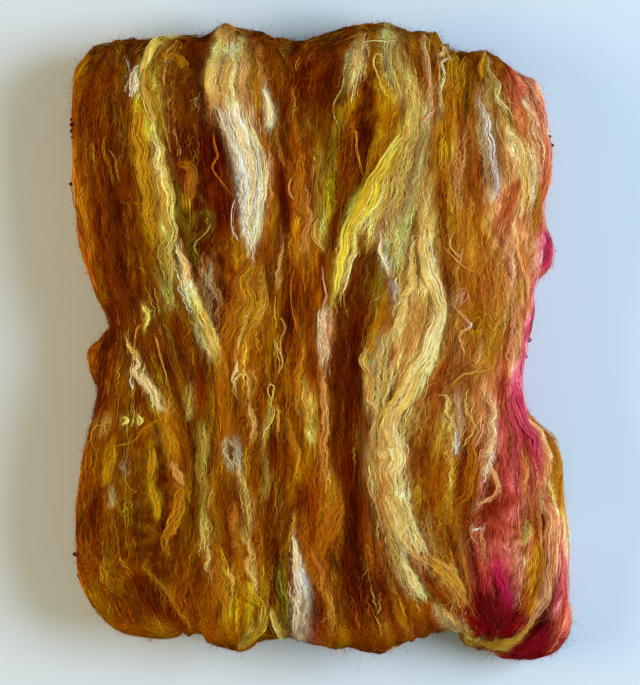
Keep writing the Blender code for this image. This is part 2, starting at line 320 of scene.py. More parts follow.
# Where each dye was laid on the carder: middle, reach across and along, and share. The dark dyes laid
# along the furrows are partly painted shade.
ZONES = (
    ("rust", 0, 0, 900, 900, 1.0), ("amber", 0, 0, 900, 900, 0.5), ("umber", 0, 0, 900, 900, 0.9),
    # The left third: brown and gold, mossy towards the bottom, with deep red in the hollows that is partly
    # oxblood and umber dye and partly painted shade laid along the furrows.
    ("umber", -85, 40, 26, 80, 1.2), ("oxblood", -90, 50, 12, 60, 1.4), ("oxblood", -85, 22, 5, 30, 2.2),
    ("moss", -84, 95, 14, 30, 0.3), ("gold", -104, 0, 4, 150, 1.4), ("mustard", -75, 82, 3, 22, 5.0),
    ("straw", -68, 70, 3.5, 24, 2.4), ("mustard", -70, 46, 3.5, 12, 3.0),
    ("oxblood", -92, 100, 8, 20, 1.2), ("umber", -80, -92, 12, 26, 1.4), ("oxblood", -102, 87, 4, 7, 4.0),
    ("umber", -52, 72, 8, 28, 24.0), ("oxblood", -50, 64, 7, 26, 36.0), ("oxblood", -46, 82, 4, 18, 10.0),
    ("moss", -56, 96, 6, 8, 1.6), ("umber", -54, 112, 8, 10, 3.0), ("amber", -57, 70, 2, 8, 3.0),
    ("umber", -60, 20, 16, 34, 1.2), ("moss", -50, 42, 8, 12, 1.0), ("moss", -75, -55, 28, 46, 0.6),
    ("oxblood", -80, -60, 24, 44, 0.5), ("amber", -97, -6, 4, 10, 6.0), ("amber", -108, 40, 5, 90, 3.0),
    ("ochre", -104.5, 62, 2.2, 20, 9.0), ("ochre", -100, 34, 2.4, 14, 8.0),
    ("mustard", -94, 16, 2.4, 8, 4.0), ("amber", -108, -80, 5, 60, 3.0),
    ("oxblood", -92, -15, 2.5, 16, 6.0), ("oxblood", -62, -12, 6, 9, 1.6),
    ("oxblood", -68, -60, 3, 16, 4.0), ("gold", -88, -50, 3, 10, 1.2), ("umber", -86, -95, 16, 28, 1.2),
    ("amber", -70, -121, 26, 4, 3.0), ("gold", -98, -104, 4, 14, 1.6),
    ("oxblood", -85.3, -73, 2.4, 3.4, 5.0), ("oxblood", -76.6, -67.4, 2.4, 3.4, 4.0),
    ("oxblood", -76, -80, 2.6, 4, 4.0), ("oxblood", -84.6, -88.4, 2.4, 3.4, 4.0),
    ("gold", -109, -60, 3, 60, 4.0), ("gold", -99, -2, 4, 9, 8.0), ("umber", -86, -22, 6, 8, 1.6),
    # The middle: orange and rust, with one dark brown band from the middle to the bottom end, laid along
    # the deepest furrow: partly dark dye, partly painted shade.
    ("orange", -8, 58, 6, 24, 3.6), ("rust", -12, 20, 10, 40, 1.2), ("oxblood", -13, 108, 6, 24, 3.0),
    ("oxblood", -17, 60, 3, 18, 3.5), ("oxblood", -15, 18, 3, 20, 3.5), ("moss", 0, 60, 4, 18, 1.8),
    ("umber", 3, 100, 7, 30, 4.0), ("oxblood", 18, 88, 3.5, 16, 10.0), ("oxblood", 0, 112, 9, 20, 3.0),
    ("orange", -24, 58, 3, 18, 2.4), ("orange", -33, 12, 7, 22, 3.0), ("amber", -42, -15, 4, 26, 3.0),
    ("gold", -28, 8, 4, 20, 1.2), ("amber", -10, -25, 8, 28, 1.4), ("orange", 0, -66, 8, 16, 1.6),
    ("rust", -2, -96, 7, 20, 1.6), ("oxblood", -20, -62, 4, 22, 2.0), ("crimson", -1, -120, 3, 8, 2.0),
    ("oxblood", -2, -116, 4, 10, 6.0), ("crimson", 39, -121, 4, 3, 2.0),
    ("oxblood", -21, -97, 2.5, 10, 6.0), ("umber", 10, -20, 6, 30, 5.0),
    ("oxblood", 12, -16, 4.5, 24, 4.5), ("umber", 10, -62, 6, 24, 3.5), ("oxblood", 13, -92, 5.5, 16, 5.0),
    ("oxblood", 20, -112, 5, 10, 5.0), ("umber", 16, -104, 9, 20, 3.0), ("umber", 18, 22, 5, 14, 4.5),
    ("moss", 21, 28, 4, 12, 3.0), ("umber", 37, 40, 2.6, 16, 6.0), ("moss", 34, 46, 4, 12, 2.0),
    ("orange", 20, -88, 3, 9, 3.0), ("orange", 24, -114, 12, 12, 0.8), ("gold", -34, -106, 12, 12, 2.6),
    ("moss", -22, -120, 8, 8, 5.0), ("mustard", -20, -116, 5, 10, 3.0), ("gold", 5, -114, 3, 12, 1.6),
    ("moss", -50, -74, 5, 8, 1.4),
    # The right third: orange gold and ochre, then the coral, rose and magenta of the edge.
    ("ochre", 62, 14, 15, 50, 2.6), ("amber", 62, 0, 14, 46, 2.6), ("tan", 60, 10, 14, 46, 0.4),
    ("umber", 62, 14, 14, 44, 0.6), ("ochre", 52, 84, 10, 40, 1.6), ("gold", 54, 98, 7, 20, 1.2),
    ("gold", 12, 97, 5, 7, 3.0), ("oxblood", 59, 118, 4, 8, 2.5), ("umber", 51, 48, 2.5, 14, 4.0),
    ("umber", 54, -8, 4, 10, 1.4), ("olive", 36, 56, 7, 24, 3.0), ("straw", 37, 60, 6, 26, 1.4),
    ("grey", 29, 45, 6, 12, 3.0), ("umber", 40, 62, 7, 26, 1.4), ("yellow", 30, 82, 4, 8, 4.0),
    ("gold", 26, 94, 4, 12, 5.0), ("straw", 37, 18, 6, 22, 3.4), ("tan", 34, -8, 8, 22, 2.0),
    ("straw", 28, -50, 6, 30, 3.0), ("mustard", 0, 72, 4, 14, 2.4), ("olive", 33, 64, 6, 20, 2.0),
    ("ochre", 28, 6, 6, 16, 1.2), ("amber", 46, -60, 8, 14, 3.0), ("ochre", 50, -60, 8, 16, 1.4),
    ("tan", 62, -28, 12, 16, 1.6), ("peach", 66, -32, 7, 14, 2.0), ("umber", 54, -74, 8, 14, 1.6),
    ("moss", 50, -78, 6, 12, 1.2), ("yellow", 50.5, 82, 4, 4, 1.2), ("umber", 55, -52, 5, 10, 1.2),
    ("ochre", 56, -90, 8, 24, 1.2), ("orange", 80, 96, 6, 26, 1.2), ("coral", 83, 107, 4, 12, 5.0),
    ("rose", 97, 78, 3, 18, 32.0), ("apricot", 95.4, 82, 3.4, 22, 50.0), ("rose", 93, 99, 3, 8, 18.0),
    ("apricot", 92, 100, 4, 8, 28.0), ("coral", 88, 109, 3, 6, 16.0), ("coral", 77, 56, 5, 8, 3.0),
    ("peach", 89, 84, 4, 30, 24.0), ("cream", 88.6, 84, 4, 26, 5.0), ("tan", 83, 70, 7, 34, 3.0),
    ("peach", 80, 40, 8, 30, 7.0), ("orange", 82, 44, 7, 28, 5.0), ("apricot", 83, 36, 6, 24, 4.0),
    ("peach", 84, 56, 5, 28, 2.4), ("coral", 80, 16, 5, 24, 1.2), ("peach", 79, 14, 5, 24, 4.0),
    ("orange", 84, 28, 3, 20, 4.0), ("magenta", 96, 40, 4.4, 8, 50.0), ("peach", 97, 41, 4, 9, 8.0),
    ("rose", 88, 20, 2.6, 12, 30.0), ("rose", 86.6, 2, 4, 12, 40.0), ("peach", 86, 34, 4, 22, 8.0),
    ("orange", 85, 34, 4, 20, 4.0), ("magenta", 88, 2, 3, 14, 10.0), ("peach", 74, -8, 5, 16, 1.6),
    ("apricot", 75.4, 0, 4, 9, 8.0), ("umber", 35.6, 46, 4, 7, 4.0), ("umber", 27, 35, 4, 6, 4.0),
    ("rose", 78, -28, 6, 14, 12.0), ("rose", 82, -38, 7, 12, 10.0), ("apricot", 77, -42, 4, 8, 6.0),
    ("tan", 62, -8, 10, 14, 5.0), ("rust", 56, -60, 6, 22, 5.0), ("magenta", 82, -24, 3, 8, 24.0),
    ("magenta", 89, -44, 3, 10, 14.0), ("coral", 83, -50, 6, 16, 8.0), ("crimson", 79, -48, 2.4, 8, 10.0),
    ("rose", 80, -62, 9, 12, 7.0), ("coral", 78, -84, 14, 16, 4.0), ("rose", 72, -86, 8, 14, 5.0),
    ("rust", 78, -74, 12, 14, 6.0), ("oxblood", 78, -62, 12, 26, 2.0), ("olive", 83, -77, 4, 6, 2.0),
    ("rust", 81, -91, 4, 8, 8.0), ("magenta", 70, -98, 5, 10, 7.0), ("magenta", 76, -100, 3, 9, 6.0),
    ("crimson", 72, -115, 8, 10, 80.0), ("oxblood", 74, -116, 7, 8, 40.0), ("rust", 88, -88, 4, 20, 20.0),
    ("orange", 88, -92, 4, 16, 8.0), ("amber", 86, -106, 4, 9, 8.0), ("amber", 99, -54, 7, 22, 20.0),
    ("gold", 101, -54, 5, 20, 30.0), ("orange", 100, -50, 6, 20, 20.0),
    ("apricot", 95.8, -84, 2.6, 26, 80.0), ("coral", 103, -108, 4, 12, 18.0),
    ("apricot", 103.5, -94, 3, 18, 24.0), ("rose", 101, -100, 3, 18, 20.0),
    ("orange", 103, -120, 5, 4, 10.0), ("crimson", 90, -126, 10, 7, 80.0),
    ("crimson", 78, -132, 12, 4, 30.0), ("crimson", 78, -115, 7, 7, 50.0),
    # Last, a little near the bottom end of each third.
    ("rust", -9, -105, 9, 12, 1.2), ("oxblood", -80, -94, 16, 16, 0.5), ("ochre", 95, -92, 3, 20, 3.0))


# Kind, dyes, half width at the start, middle and end, and route over the mat, all in millimetres.
LOCKS = (
    # The butter and gold lock of the left side, which ends in cream curls.
    ("rope", "butter straw butter", (1.4, 1.9, 1.5), ((-62.5, 130), (-67.4, 127.6), (-71.3, 124.3),
     (-73.8, 120.8), (-76, 115), (-76.6, 110))),
    ("curly", "white cream", (0.9, 1.5, 0.8), ((-78.2, 115), (-79.8, 111), (-78.2, 108), (-79.6, 105),
     (-78.4, 102))),
    ("wavy", "gold mustard", (2.2, 3.0, 1.4), ((-75.6, 112), (-77.8, 103), (-77, 86), (-75.8, 72),
     (-73.5, 59), (-72, 47), (-70.6, 35))),
    ("wavy", "gold mustard straw", (1.4, 3.0, 3.0), ((-73.4, 119), (-73, 109), (-71, 96), (-69.4, 84))),
    ("wavy", "straw gold butter", (1.6, 3.0, 2.0), ((-71.4, 94), (-70, 82), (-68.4, 71), (-66, 60),
     (-65, 50), (-65.4, 37))),
    ("wavy", "cream straw", (0.8, 1.5, 1.0), ((-71.4, 90), (-70.4, 78), (-68, 68), (-65.4, 58))),
    ("open", "olive straw", (2.6, 2.4, 1.4), ((-65, 50), (-66.5, 40), (-65.5, 26), (-64, 14))),
    ("wavy", "cream peach butter", (0.9, 1.3, 1.4), ((-63.5, 44), (-61, 40.5), (-59, 36), (-58, 30),
     (-57, 25), (-54.5, 21))),
    ("curly", "butter cream", (1.6, 2.8, 1.3), ((-57.5, 25), (-55, 19.5), (-51.5, 14.5), (-49, 8.5),
     (-46.8, 3.5), (-44.2, -2.5), (-43.2, -8))),
    ("open", "straw cream", (1.4, 2.4, 1.4), ((-52, 10), (-49.5, 3), (-47, -3), (-45, -8))),
    ("open", "umber moss", (1.0, 1.2, 1.0), ((-63, 72), (-60, 58), (-58.5, 47), (-56.5, 37), (-55, 27))),
    ("wavy", "amber orange", (1.2, 2.3, 1.8), ((-62, 76), (-57.4, 74), (-56, 69), (-56.4, 63),
     (-57.6, 58))),
    ("hair", "gold", (0.2, 0.4, 0.2), ((-70.6, 113), (-67.5, 94), (-64, 80), (-65, 74))),
    ("fine", "gold tan", (0.4, 0.8, 0.4), ((-90.4, 89), (-91.3, 82), (-90, 75), (-86.5, 62))),
    ("fine", "gold tan", (0.2, 0.5, 0.2), ((-91.3, 83), (-87.5, 77), (-84.6, 65))),
    ("open", "amber gold", (0.6, 1.2, 0.6), ((-68, 121), (-62, 119.5), (-56, 113.5))),
    ("fine", "rust orange", (0.4, 0.6, 0.4), ((-61, 78), (-55, 75), (-55, 65), (-58, 60))),
    ("hair", "orange", (0.4, 0.5, 0.4), ((-46.5, 92), (-45.5, 82.5), (-44, 78), (-46, 73), (-42, 67),
     (-38, 61))),
    ("open", "olive moss umber", (0.8, 1.4, 0.8), ((-56, 48), (-53.6, 53), (-49.4, 54.4), (-47.2, 50.6),
     (-49, 46), (-53, 43.6), (-54.4, 39.6), (-52.4, 35))),
    ("fine", "olive straw", (0.5, 0.9, 0.5), ((-51, 53), (-47.6, 50.5), (-48.4, 46.2), (-53, 42.6),
     (-53.6, 38.4), (-50.6, 35))),
    ("open", "umber tan grey", (1.6, 3.4, 2.0), ((-50, 35), (-48.5, 28), (-46.5, 20), (-45.5, 10),
     (-44.5, 2))),
    ("curly", "grey cream", (0.8, 1.4, 0.8), ((-47.5, 33), (-48, 27), (-46, 21), (-50, 16))),
    # The white silk of the upper middle, and the gold and peach strands beside it.
    ("open", "amber tan", (2.6, 3.6, 1.6), ((-38, 124), (-39.6, 129), (-41, 134))),
    ("open", "straw cream tan", (4.4, 7.0, 6.6), ((-39.6, 127), (-39.6, 119), (-39.8, 112), (-40, 104),
     (-40, 96))),
    ("wavy", "cream straw butter", (1.8, 3.2, 2.6), ((-43, 125.4), (-45, 115), (-45.4, 106), (-43.6, 97))),
    ("wavy", "straw cream tan", (1.6, 3.4, 2.6), ((-38, 125), (-38, 114), (-38.2, 107), (-38.6, 100))),
    ("wavy", "tan straw gold", (1.2, 2.2, 1.4), ((-34.4, 123), (-33.6, 112), (-34.6, 103))),
    ("wavy", "white silver grey", (2.0, 2.2, 0.9), ((-45.5, 104), (-42.6, 94.5), (-38.8, 86), (-35.2, 78),
     (-33.8, 69.5), (-34, 60), (-33.6, 53), (-32.4, 47))),
    ("wavy", "white cream silver", (2.6, 3.1, 1.4), ((-40, 103), (-38, 93), (-34.8, 85), (-31.4, 77.6),
     (-30.8, 69), (-31.2, 60), (-31, 51), (-30.6, 41))),
    ("satin", "cream white butter", (1.8, 2.6, 1.4), ((-34, 104), (-32.5, 94.5), (-31.2, 88.6), (-28, 82),
     (-26, 75), (-26.2, 66), (-26.9, 58), (-27.8, 49.6), (-29.2, 42), (-30.2, 37))),
    ("satin", "silver white", (0.6, 1.3, 0.8), ((-36.6, 84), (-33.2, 74), (-32.6, 64), (-33, 54))),
    ("hair", "silver", (0.6, 1.0, 0.6), ((-36.5, 62), (-37.8, 54), (-37.4, 47), (-35, 41))),
    ("open", "amber gold mustard", (1.0, 1.9, 1.0), ((-30.8, 123), (-29.5, 112.6), (-27.6, 104),
     (-27, 96))),
    ("satin", "cream white", (0.7, 1.9, 1.2), ((-25.8, 107), (-24, 102.4), (-22.9, 97.8), (-23, 93),
     (-24.6, 89))),
    ("wavy", "amber tan straw", (0.6, 1.3, 0.8), ((-29, 125), (-27.6, 118), (-26.2, 112), (-24.8, 105))),
    ("wavy", "amber orange", (1.2, 2.0, 1.4), ((-27.2, 93), (-25, 84.5), (-24.7, 77), (-23.5, 66),
     (-22.5, 55), (-23.5, 44))),
    ("wavy", "peach tan", (0.3, 0.7, 0.4), ((-23.7, 86), (-22.4, 77), (-22.7, 62), (-24, 50))),
    ("open", "amber tan", (0.4, 0.7, 0.4), ((-20, 86), (-17.4, 78), (-14, 72))),
    ("open", "amber rust", (3.4, 7.6, 7.2), ((-29.5, 38), (-31, 29), (-32, 20), (-34, 8), (-37, -3))),
    ("wavy", "gold amber orange", (2.4, 6.0, 6.4), ((-29, 36), (-31.5, 27), (-32, 18), (-34, 7),
     (-38, -6))),
    ("curly", "gold straw", (1.2, 2.2, 1.2), ((-26.5, 34), (-25.5, 24), (-26.5, 14), (-29.5, 6),
     (-31, -2))),
    ("curly", "straw cream", (0.5, 1.0, 0.8), ((-26, 20), (-30.5, 13.5), (-33, 6), (-35.2, 1),
     (-35.5, -2.5), (-37, -6))),
    ("curly", "cream straw", (0.5, 0.8, 0.5), ((-36.8, -4), (-36.3, -10.5), (-37.8, -15), (-36, -19))),
    ("open", "amber gold", (1.6, 2.6, 2.0), ((-43, 4), (-42.5, -10), (-41.5, -24), (-41, -38))),
    # The orange and rust middle.
    ("wavy", "orange amber", (1.4, 2.6, 1.6), ((-8, 82), (-9.8, 72), (-10.5, 60), (-8, 50), (-7, 42))),
    ("wavy", "orange tan", (0.6, 1.2, 0.6), ((-7, 70), (-6.5, 58), (-5.4, 52), (-7, 44), (-8.5, 36))),
    ("hair", "tan", (0.3, 0.6, 0.3), ((-12, 71), (-14.5, 66), (-12.6, 60), (-10.4, 64))),
    ("wavy", "tan straw", (0.3, 0.6, 0.4), ((-16.5, 48), (-18, 39.6), (-18.9, 30), (-18, 23))),
    ("hair", "tan", (0.3, 0.5, 0.4), ((-19.4, 13), (-17, 7), (-18.9, 1), (-18, -6), (-17, -11))),
    ("hair", "straw", (0.4, 0.7, 0.4), ((-21, 3), (-19, -4), (-18, -9), (-19.5, -15))),
    ("hair", "orange tan", (0.4, 1.0, 0.6), ((-11, 36), (-12.5, 24), (-11, 10), (-9, -4))),
    ("hair", "peach", (0.3, 0.5, 0.4), ((-0.3, 34), (-0.7, 27), (0.3, 20), (-1.2, 13))),
    ("wavy", "cream white peach", (0.7, 1.6, 1.1), ((1.0, 15), (-0.2, 8), (0.2, 2), (0.6, -4),
     (0.7, -10))),
    ("open", "peach tan", (0.6, 1.2, 0.8), ((3.4, 16), (2.6, 8), (2.2, 2), (1.6, -4))),
    ("curly", "tan gold orange", (0.9, 1.5, 1.2), ((0.6, -6), (-0.2, -15), (0.4, -23), (0.9, -31),
     (0.8, -38), (-0.2, -45), (1.4, -52), (2, -60))),
    ("wavy", "butter gold straw", (1.2, 2.3, 1.2), ((-8.6, -14), (-7.6, -21), (-6.4, -27), (-5.4, -34),
     (-4.4, -41))),
    ("wavy", "gold amber", (0.8, 1.5, 1.0), ((-16.5, -28), (-13.8, -37), (-12.2, -42), (-10.3, -48),
     (-9.6, -58))),
    ("wavy", "orange gold", (1.0, 1.6, 1.0), ((-8, 4), (-9.5, -6), (-10, -16), (-9.4, -26))),
    ("open", "amber orange", (2.0, 3.6, 2.2), ((3, -56), (5.5, -66), (2, -78), (-1.5, -90), (0, -100))),
    ("wavy", "orange tan", (0.6, 1.1, 0.6), ((-4.6, -86), (-2.6, -92), (-0.2, -97), (0.6, -106))),
    ("open", "gold tan", (0.8, 1.6, 0.9), ((1.2, -102), (3, -112), (4, -123))),
    ("open", "umber olive", (0.8, 1.5, 0.8), ((1.4, -82), (4, -92), (4.8, -99))),
    # Loops and noils of the middle.
    ("curly", "tan straw gold", (0.4, 0.6, 0.4), ((-35, -25), (-36.4, -18.5), (-35, -14), (-32, -12.2),
     (-30, -14), (-30.4, -19), (-31, -25))),
    ("curly", "tan straw", (0.5, 1.1, 0.5), ((-32.4, -24), (-30, -30.5), (-28.6, -35), (-29.4, -41))),
    ("hair", "straw gold", (0.3, 0.4, 0.3), ((-20.6, -27), (-22.4, -23.4), (-24.4, -20), (-23.4, -17.4),
     (-21.2, -18), (-21.6, -21.6), (-23, -27))),
    ("wavy", "gold straw", (0.4, 0.9, 0.6), ((-22, -25), (-22.6, -31), (-24.6, -36), (-25, -44))),
    ("wavy", "gold straw", (0.4, 0.8, 0.4), ((-21.8, -25), (-19.6, -32), (-19, -40))),
    # The pale veils, the yellow band and the big cream lock right of the middle.
    ("hair", "cream olive", (0.4, 0.5, 0.3), ((37.5, 131), (28.5, 127), (20, 126), (14.2, 122.5),
     (10, 115.5), (8.6, 107), (4.7, 100.5), (4.6, 95), (6.7, 89), (5.6, 80))),
    ("open", "cream straw olive", (1.4, 2.8, 1.0), ((16, 127), (13.8, 119), (12.2, 112), (10.6, 106))),
    ("open", "moss olive gold", (1.0, 1.7, 0.9), ((8, 98), (4, 84), (1.6, 68), (0.6, 54))),
    ("open", "olive straw", (1.0, 2.2, 1.4), ((-1, 80), (-2.2, 68), (-1.8, 56), (-1.6, 43))),
    ("open", "olive straw", (1.0, 1.8, 1.0), ((-1.8, 54), (-1.4, 46), (0.2, 38))),
    ("hair", "gold", (0.3, 0.4, 0.3), ((10.5, 84), (11.2, 88.5), (13.3, 88.4), (13.6, 81), (15.2, 74),
     (18, 68))),
    ("hair", "straw", (0.3, 0.4, 0.3), ((25.4, 103), (22.8, 110.5), (20.8, 116.4), (21.5, 120),
     (24, 120.4), (24.7, 116))),
    ("satin", "straw olive grey", (3.4, 3.4, 2.0), ((28.6, 130), (29.4, 120), (31.2, 110), (32.8, 101))),
    ("open", "straw olive tan", (1.6, 3.6, 3.4), ((32, 116), (35.6, 108), (38, 100), (38, 91), (35.6, 82),
     (33, 74))),
    ("open", "gold amber mustard", (1.8, 3.6, 1.6), ((27.2, 104), (27.4, 95), (26.4, 86), (23.6, 78),
     (20, 69))),
    ("open", "mustard gold", (0.8, 1.6, 0.8), ((23.4, 88), (21.2, 79), (19, 70), (16.4, 62))),
    ("satin", "butter yellow yellow", (1.8, 3.0, 1.3), ((34, 92), (30.4, 83), (26, 75), (21, 66.5),
     (16.4, 58.6), (11.4, 48), (7.6, 37), (6.2, 28), (4.6, 20), (3, 12.6))),
    ("wavy", "butter yellow", (1.4, 2.2, 1.2), ((37, 91), (32.4, 83), (27.6, 75), (22.8, 66), (18.2, 57.6),
     (12.8, 46), (9, 35))),
    ("wavy", "cream butter", (0.7, 1.2, 0.7), ((28.2, 71), (23.4, 61), (17.2, 52.4), (12.4, 41.4),
     (10.2, 31.5), (7.6, 21.5))),
    ("hair", "cream", (0.2, 0.3, 0.2), ((16, 40), (14, 37.4), (11.4, 33.6), (10.3, 28), (8.8, 23),
     (6.6, 17.6))),
    ("open", "straw olive", (2.0, 3.8, 1.6), ((38, 94), (35, 82), (30.6, 70), (25.4, 58), (21, 49),
     (18, 40))),
    ("open", "straw olive grey", (3.0, 4.6, 1.8), ((42.5, 94), (39, 78), (35, 63), (30.4, 51), (32.5, 38),
     (35, 24))),
    ("open", "tan straw", (2.0, 3.2, 2.4), ((42, 72), (41.5, 62), (42.6, 52), (43.6, 42))),
    ("wavy", "cream silver", (0.4, 0.8, 0.5), ((22.4, 49), (24.6, 44.4), (23.5, 38.8), (25.8, 34.8),
     (27.2, 31), (27.8, 26))),
    ("open", "lilac grey", (0.5, 1.2, 0.7), ((28, 27), (29.8, 23), (29.6, 17))),
    ("satin", "cream straw", (1.6, 3.2, 2.9), ((41.8, 50), (42, 42), (42.6, 33), (44.6, 25.6), (47.4, 20),
     (48.4, 14), (46.6, 7))),
    ("satin", "cream straw", (2.4, 2.9, 3.0), ((48, 18), (47.8, 12), (45.6, 5), (43.6, -2), (40.4, -9),
     (36.6, -16))),
    ("wavy", "cream butter straw", (2.4, 3.4, 3.2), ((43, -2), (39.4, -10), (35.4, -17.4), (31.6, -25),
     (29, -32), (27.6, -40))),
    ("wavy", "straw cream", (1.2, 2.1, 1.6), ((39.6, 45), (37.4, 35), (35.8, 22), (32.2, 10.5), (30.8, 2),
     (32, -5))),
    ("wavy", "straw tan", (0.8, 1.6, 1.2), ((19.4, 2), (17.8, -6), (19.2, -13.4), (18.3, -21),
     (21.6, -28))),
    ("open", "umber", (0.5, 1.1, 0.5), ((28.6, -14), (27.6, -20), (26.6, -27))),
    ("wavy", "gold amber", (0.8, 1.6, 1.2), ((25.8, 21), (24.8, 11), (22.4, 5.6), (19, -2.6),
     (17.6, -10))),
    ("open", "tan straw", (1.6, 3.4, 2.6), ((38, 26), (39.6, 14), (37, 2), (34, -8))),
    ("open", "straw grey", (2.0, 4.0, 4.2), ((25, 6), (25, -6), (23, -18), (24, -30))),
    ("wavy", "tan cream", (0.5, 1.0, 0.8), ((17.2, -15), (17.8, -21.6), (21, -27), (22.8, -32.6),
     (20.6, -39.6), (18.8, -47))),
    ("wavy", "cream straw", (0.5, 0.9, 0.6), ((32, -4), (28.4, -9.8), (26.8, -17), (25.5, -23),
     (24.8, -30), (23, -35), (20.6, -39))),
    ("wavy", "cream straw", (2.6, 5.0, 4.4), ((30, -26), (27.2, -34), (26, -42), (26.4, -50), (26.4, -58),
     (27, -66))),
    ("wavy", "cream straw cream", (2.0, 3.2, 2.8), ((31.6, -26), (29.4, -34), (29.4, -42), (30.2, -49),
     (29.6, -57), (28.6, -66))),
    ("wavy", "straw cream", (0.8, 1.4, 1.0), ((23.2, -34), (22.2, -44), (21.6, -52), (22.8, -60),
     (25, -68))),
    ("open", "tan straw", (2.6, 4.6, 3.6), ((26, -36), (25.2, -48), (25.4, -60), (27.6, -72))),
    ("wavy", "cream straw", (2.6, 3.6, 2.4), ((28.4, -60), (28.6, -68), (30.6, -76), (33.6, -82),
     (37, -87))),
    ("wavy", "cream straw", (1.6, 2.6, 2.8), ((32.6, -60), (33.6, -72), (37.4, -79.6), (41.4, -86),
     (45, -93))),
    ("open", "cream olive", (1.4, 2.4, 1.6), ((27, -64), (29, -76), (32, -86), (33.4, -95), (37, -104))),
    ("hair", "peach cream", (0.4, 0.6, 0.4), ((19.2, -53), (18.6, -57.6), (20.2, -64), (23, -69),
     (24.6, -76), (27.6, -86))),
    ("wavy", "tan straw gold", (2.0, 3.0, 2.4), ((43.6, -86), (46.6, -93), (52, -97.6), (56, -102),
     (58.8, -108))),
    ("wavy", "cream straw", (0.8, 2.0, 1.6), ((31, -90), (34.4, -96), (38, -101), (41.4, -106))),
    ("open", "tan peach amber", (0.8, 1.8, 0.9), ((36, -83), (39, -90), (42, -97))),
    ("open", "olive tan", (1.0, 2.2, 1.2), ((43, -70), (45.3, -81), (49, -91))),
    # The cream strands of the upper right.
    ("wavy", "straw cream peach", (0.5, 0.9, 0.6), ((41.4, 130), (42, 121.7), (43.8, 114), (44.6, 104),
     (43.6, 97), (40.6, 91))),
    ("curly", "peach lilac cream", (0.4, 0.9, 0.6), ((46, 99), (45, 96), (41, 92), (38.6, 88))),
    ("curly", "cream straw", (0.5, 0.8, 0.5), ((49, 127.5), (51, 124.3), (49.7, 121), (46.5, 120))),
    ("curly", "straw cream", (0.5, 0.9, 0.6), ((51.7, 124), (51.7, 119), (48.5, 117.6), (50.4, 114),
     (49.7, 110.6), (47.8, 107), (48.5, 101.8), (49.2, 96.6), (47.6, 92))),
    ("wavy", "gold amber", (2.0, 3.4, 2.4), ((54, 122), (53, 110), (53, 98), (51, 84))),
    ("wavy", "gold amber", (0.8, 1.3, 0.8), ((65, 124), (67, 118.5), (66.5, 111))),
    ("open", "straw tan olive", (0.8, 1.8, 1.8), ((67.6, 122), (68.8, 114), (72, 105), (76, 96.5),
     (79.4, 89))),
    ("wavy", "straw cream", (0.5, 1.0, 0.8), ((68.6, 120), (70.4, 111), (74, 101), (78, 91))),
    ("wavy", "cream straw tan", (1.4, 2.8, 1.8), ((78, 91), (81.2, 82), (83.8, 73), (84.8, 64), (84, 55))),
    ("open", "tan grey rust", (1.8, 3.4, 1.8), ((66, 106), (67, 94), (69, 82), (70, 70), (69, 60))),
    ("curly", "silver lilac tan", (0.8, 1.5, 1.1), ((66, 105), (65.8, 96), (68.4, 90), (69.7, 83),
     (69.7, 78), (71.6, 73), (72, 66))),
    ("curly", "silver cream lilac", (0.7, 1.4, 0.8), ((70, 80), (71.6, 73), (72.4, 66), (70.6, 60))),
    ("open", "tan amber", (2.0, 4.4, 2.0), ((60, 96), (60, 82), (58, 68), (57, 56))),
    ("open", "coral peach orange", (0.8, 1.8, 1.0), ((78, 112), (81, 102), (85.4, 90), (88.4, 78),
     (90, 66))),
    ("open", "orange gold", (1.0, 1.9, 1.2), ((88, 72), (90, 62), (89.4, 53), (87.6, 44))),
    ("satin", "apricot coral rose", (1.2, 2.2, 1.4), ((81, 117), (86.6, 109), (90.4, 99), (92.8, 88),
     (93.6, 77), (93, 67), (91, 59))),
    ("open", "cream peach", (1.4, 2.8, 1.6), ((83.6, 103), (87.4, 92), (89.2, 78), (88.6, 66), (87, 55))),
    ("open", "coral rose", (0.8, 1.6, 1.0), ((78.6, 118), (80.4, 110), (81.4, 102), (83.4, 92))),
    # The ochre wool of the right, crimped all ways, with stray hairs over it.
    ("open", "ochre amber", (3.0, 7.0, 4.0), ((57, 58), (60, 44), (60, 30), (62, 14))),
    ("open", "ochre tan amber", (3.0, 6.0, 5.0), ((66, 46), (70, 32), (72, 16), (70, 0))),
    ("open", "amber gold", (4.0, 7.0, 4.0), ((58, 10), (66, 12), (70, 4), (68, -8))),
    ("hair", "tan", (0.2, 0.3, 0.2), ((49, 41), (56.4, 33.6), (62, 30.4), (67, 27.6), (71.8, 24.2))),
    ("hair", "tan straw", (0.3, 0.5, 0.3), ((57.6, 50), (52, 42), (56.4, 36), (58.2, 40.4), (56, 32),
     (53.4, 25))),
    ("curly", "tan peach", (0.4, 0.7, 0.4), ((54.7, 25.5), (54.2, 16.5), (57.5, 11), (60, 8), (56.6, 3.4),
     (58.6, -3), (56.2, -9))),
    ("curly", "white cream", (0.5, 0.8, 0.5), ((58.6, 9.6), (60.2, 7.6), (59.2, 5.4))),
    ("open", "peach tan", (1.2, 2.4, 1.2), ((58.6, 23), (57.4, 19), (56, 15.5))),
    ("curly", "peach cream", (0.6, 1.4, 0.8), ((77.6, 40), (78.4, 34.4), (79.4, 30), (77.4, 24))),
    ("open", "straw gold", (0.6, 1.3, 0.8), ((81, 27), (82.6, 22), (82.4, 16))),
    ("satin", "apricot orange", (0.8, 1.8, 1.0), ((80.6, 48), (83, 38), (85.2, 26), (85.6, 13))),
    ("open", "peach tan", (1.2, 2.4, 1.6), ((78.6, 24), (80.6, 12), (79.6, 0), (77, -12))),
    ("satin", "magenta rose", (1.0, 2.6, 1.0), ((92, 49), (94.4, 43), (94, 36), (91, 30.5))),
    ("satin", "butter cream", (0.3, 0.5, 0.3), ((99.4, 43), (98.6, 35), (94.6, 28.6))),
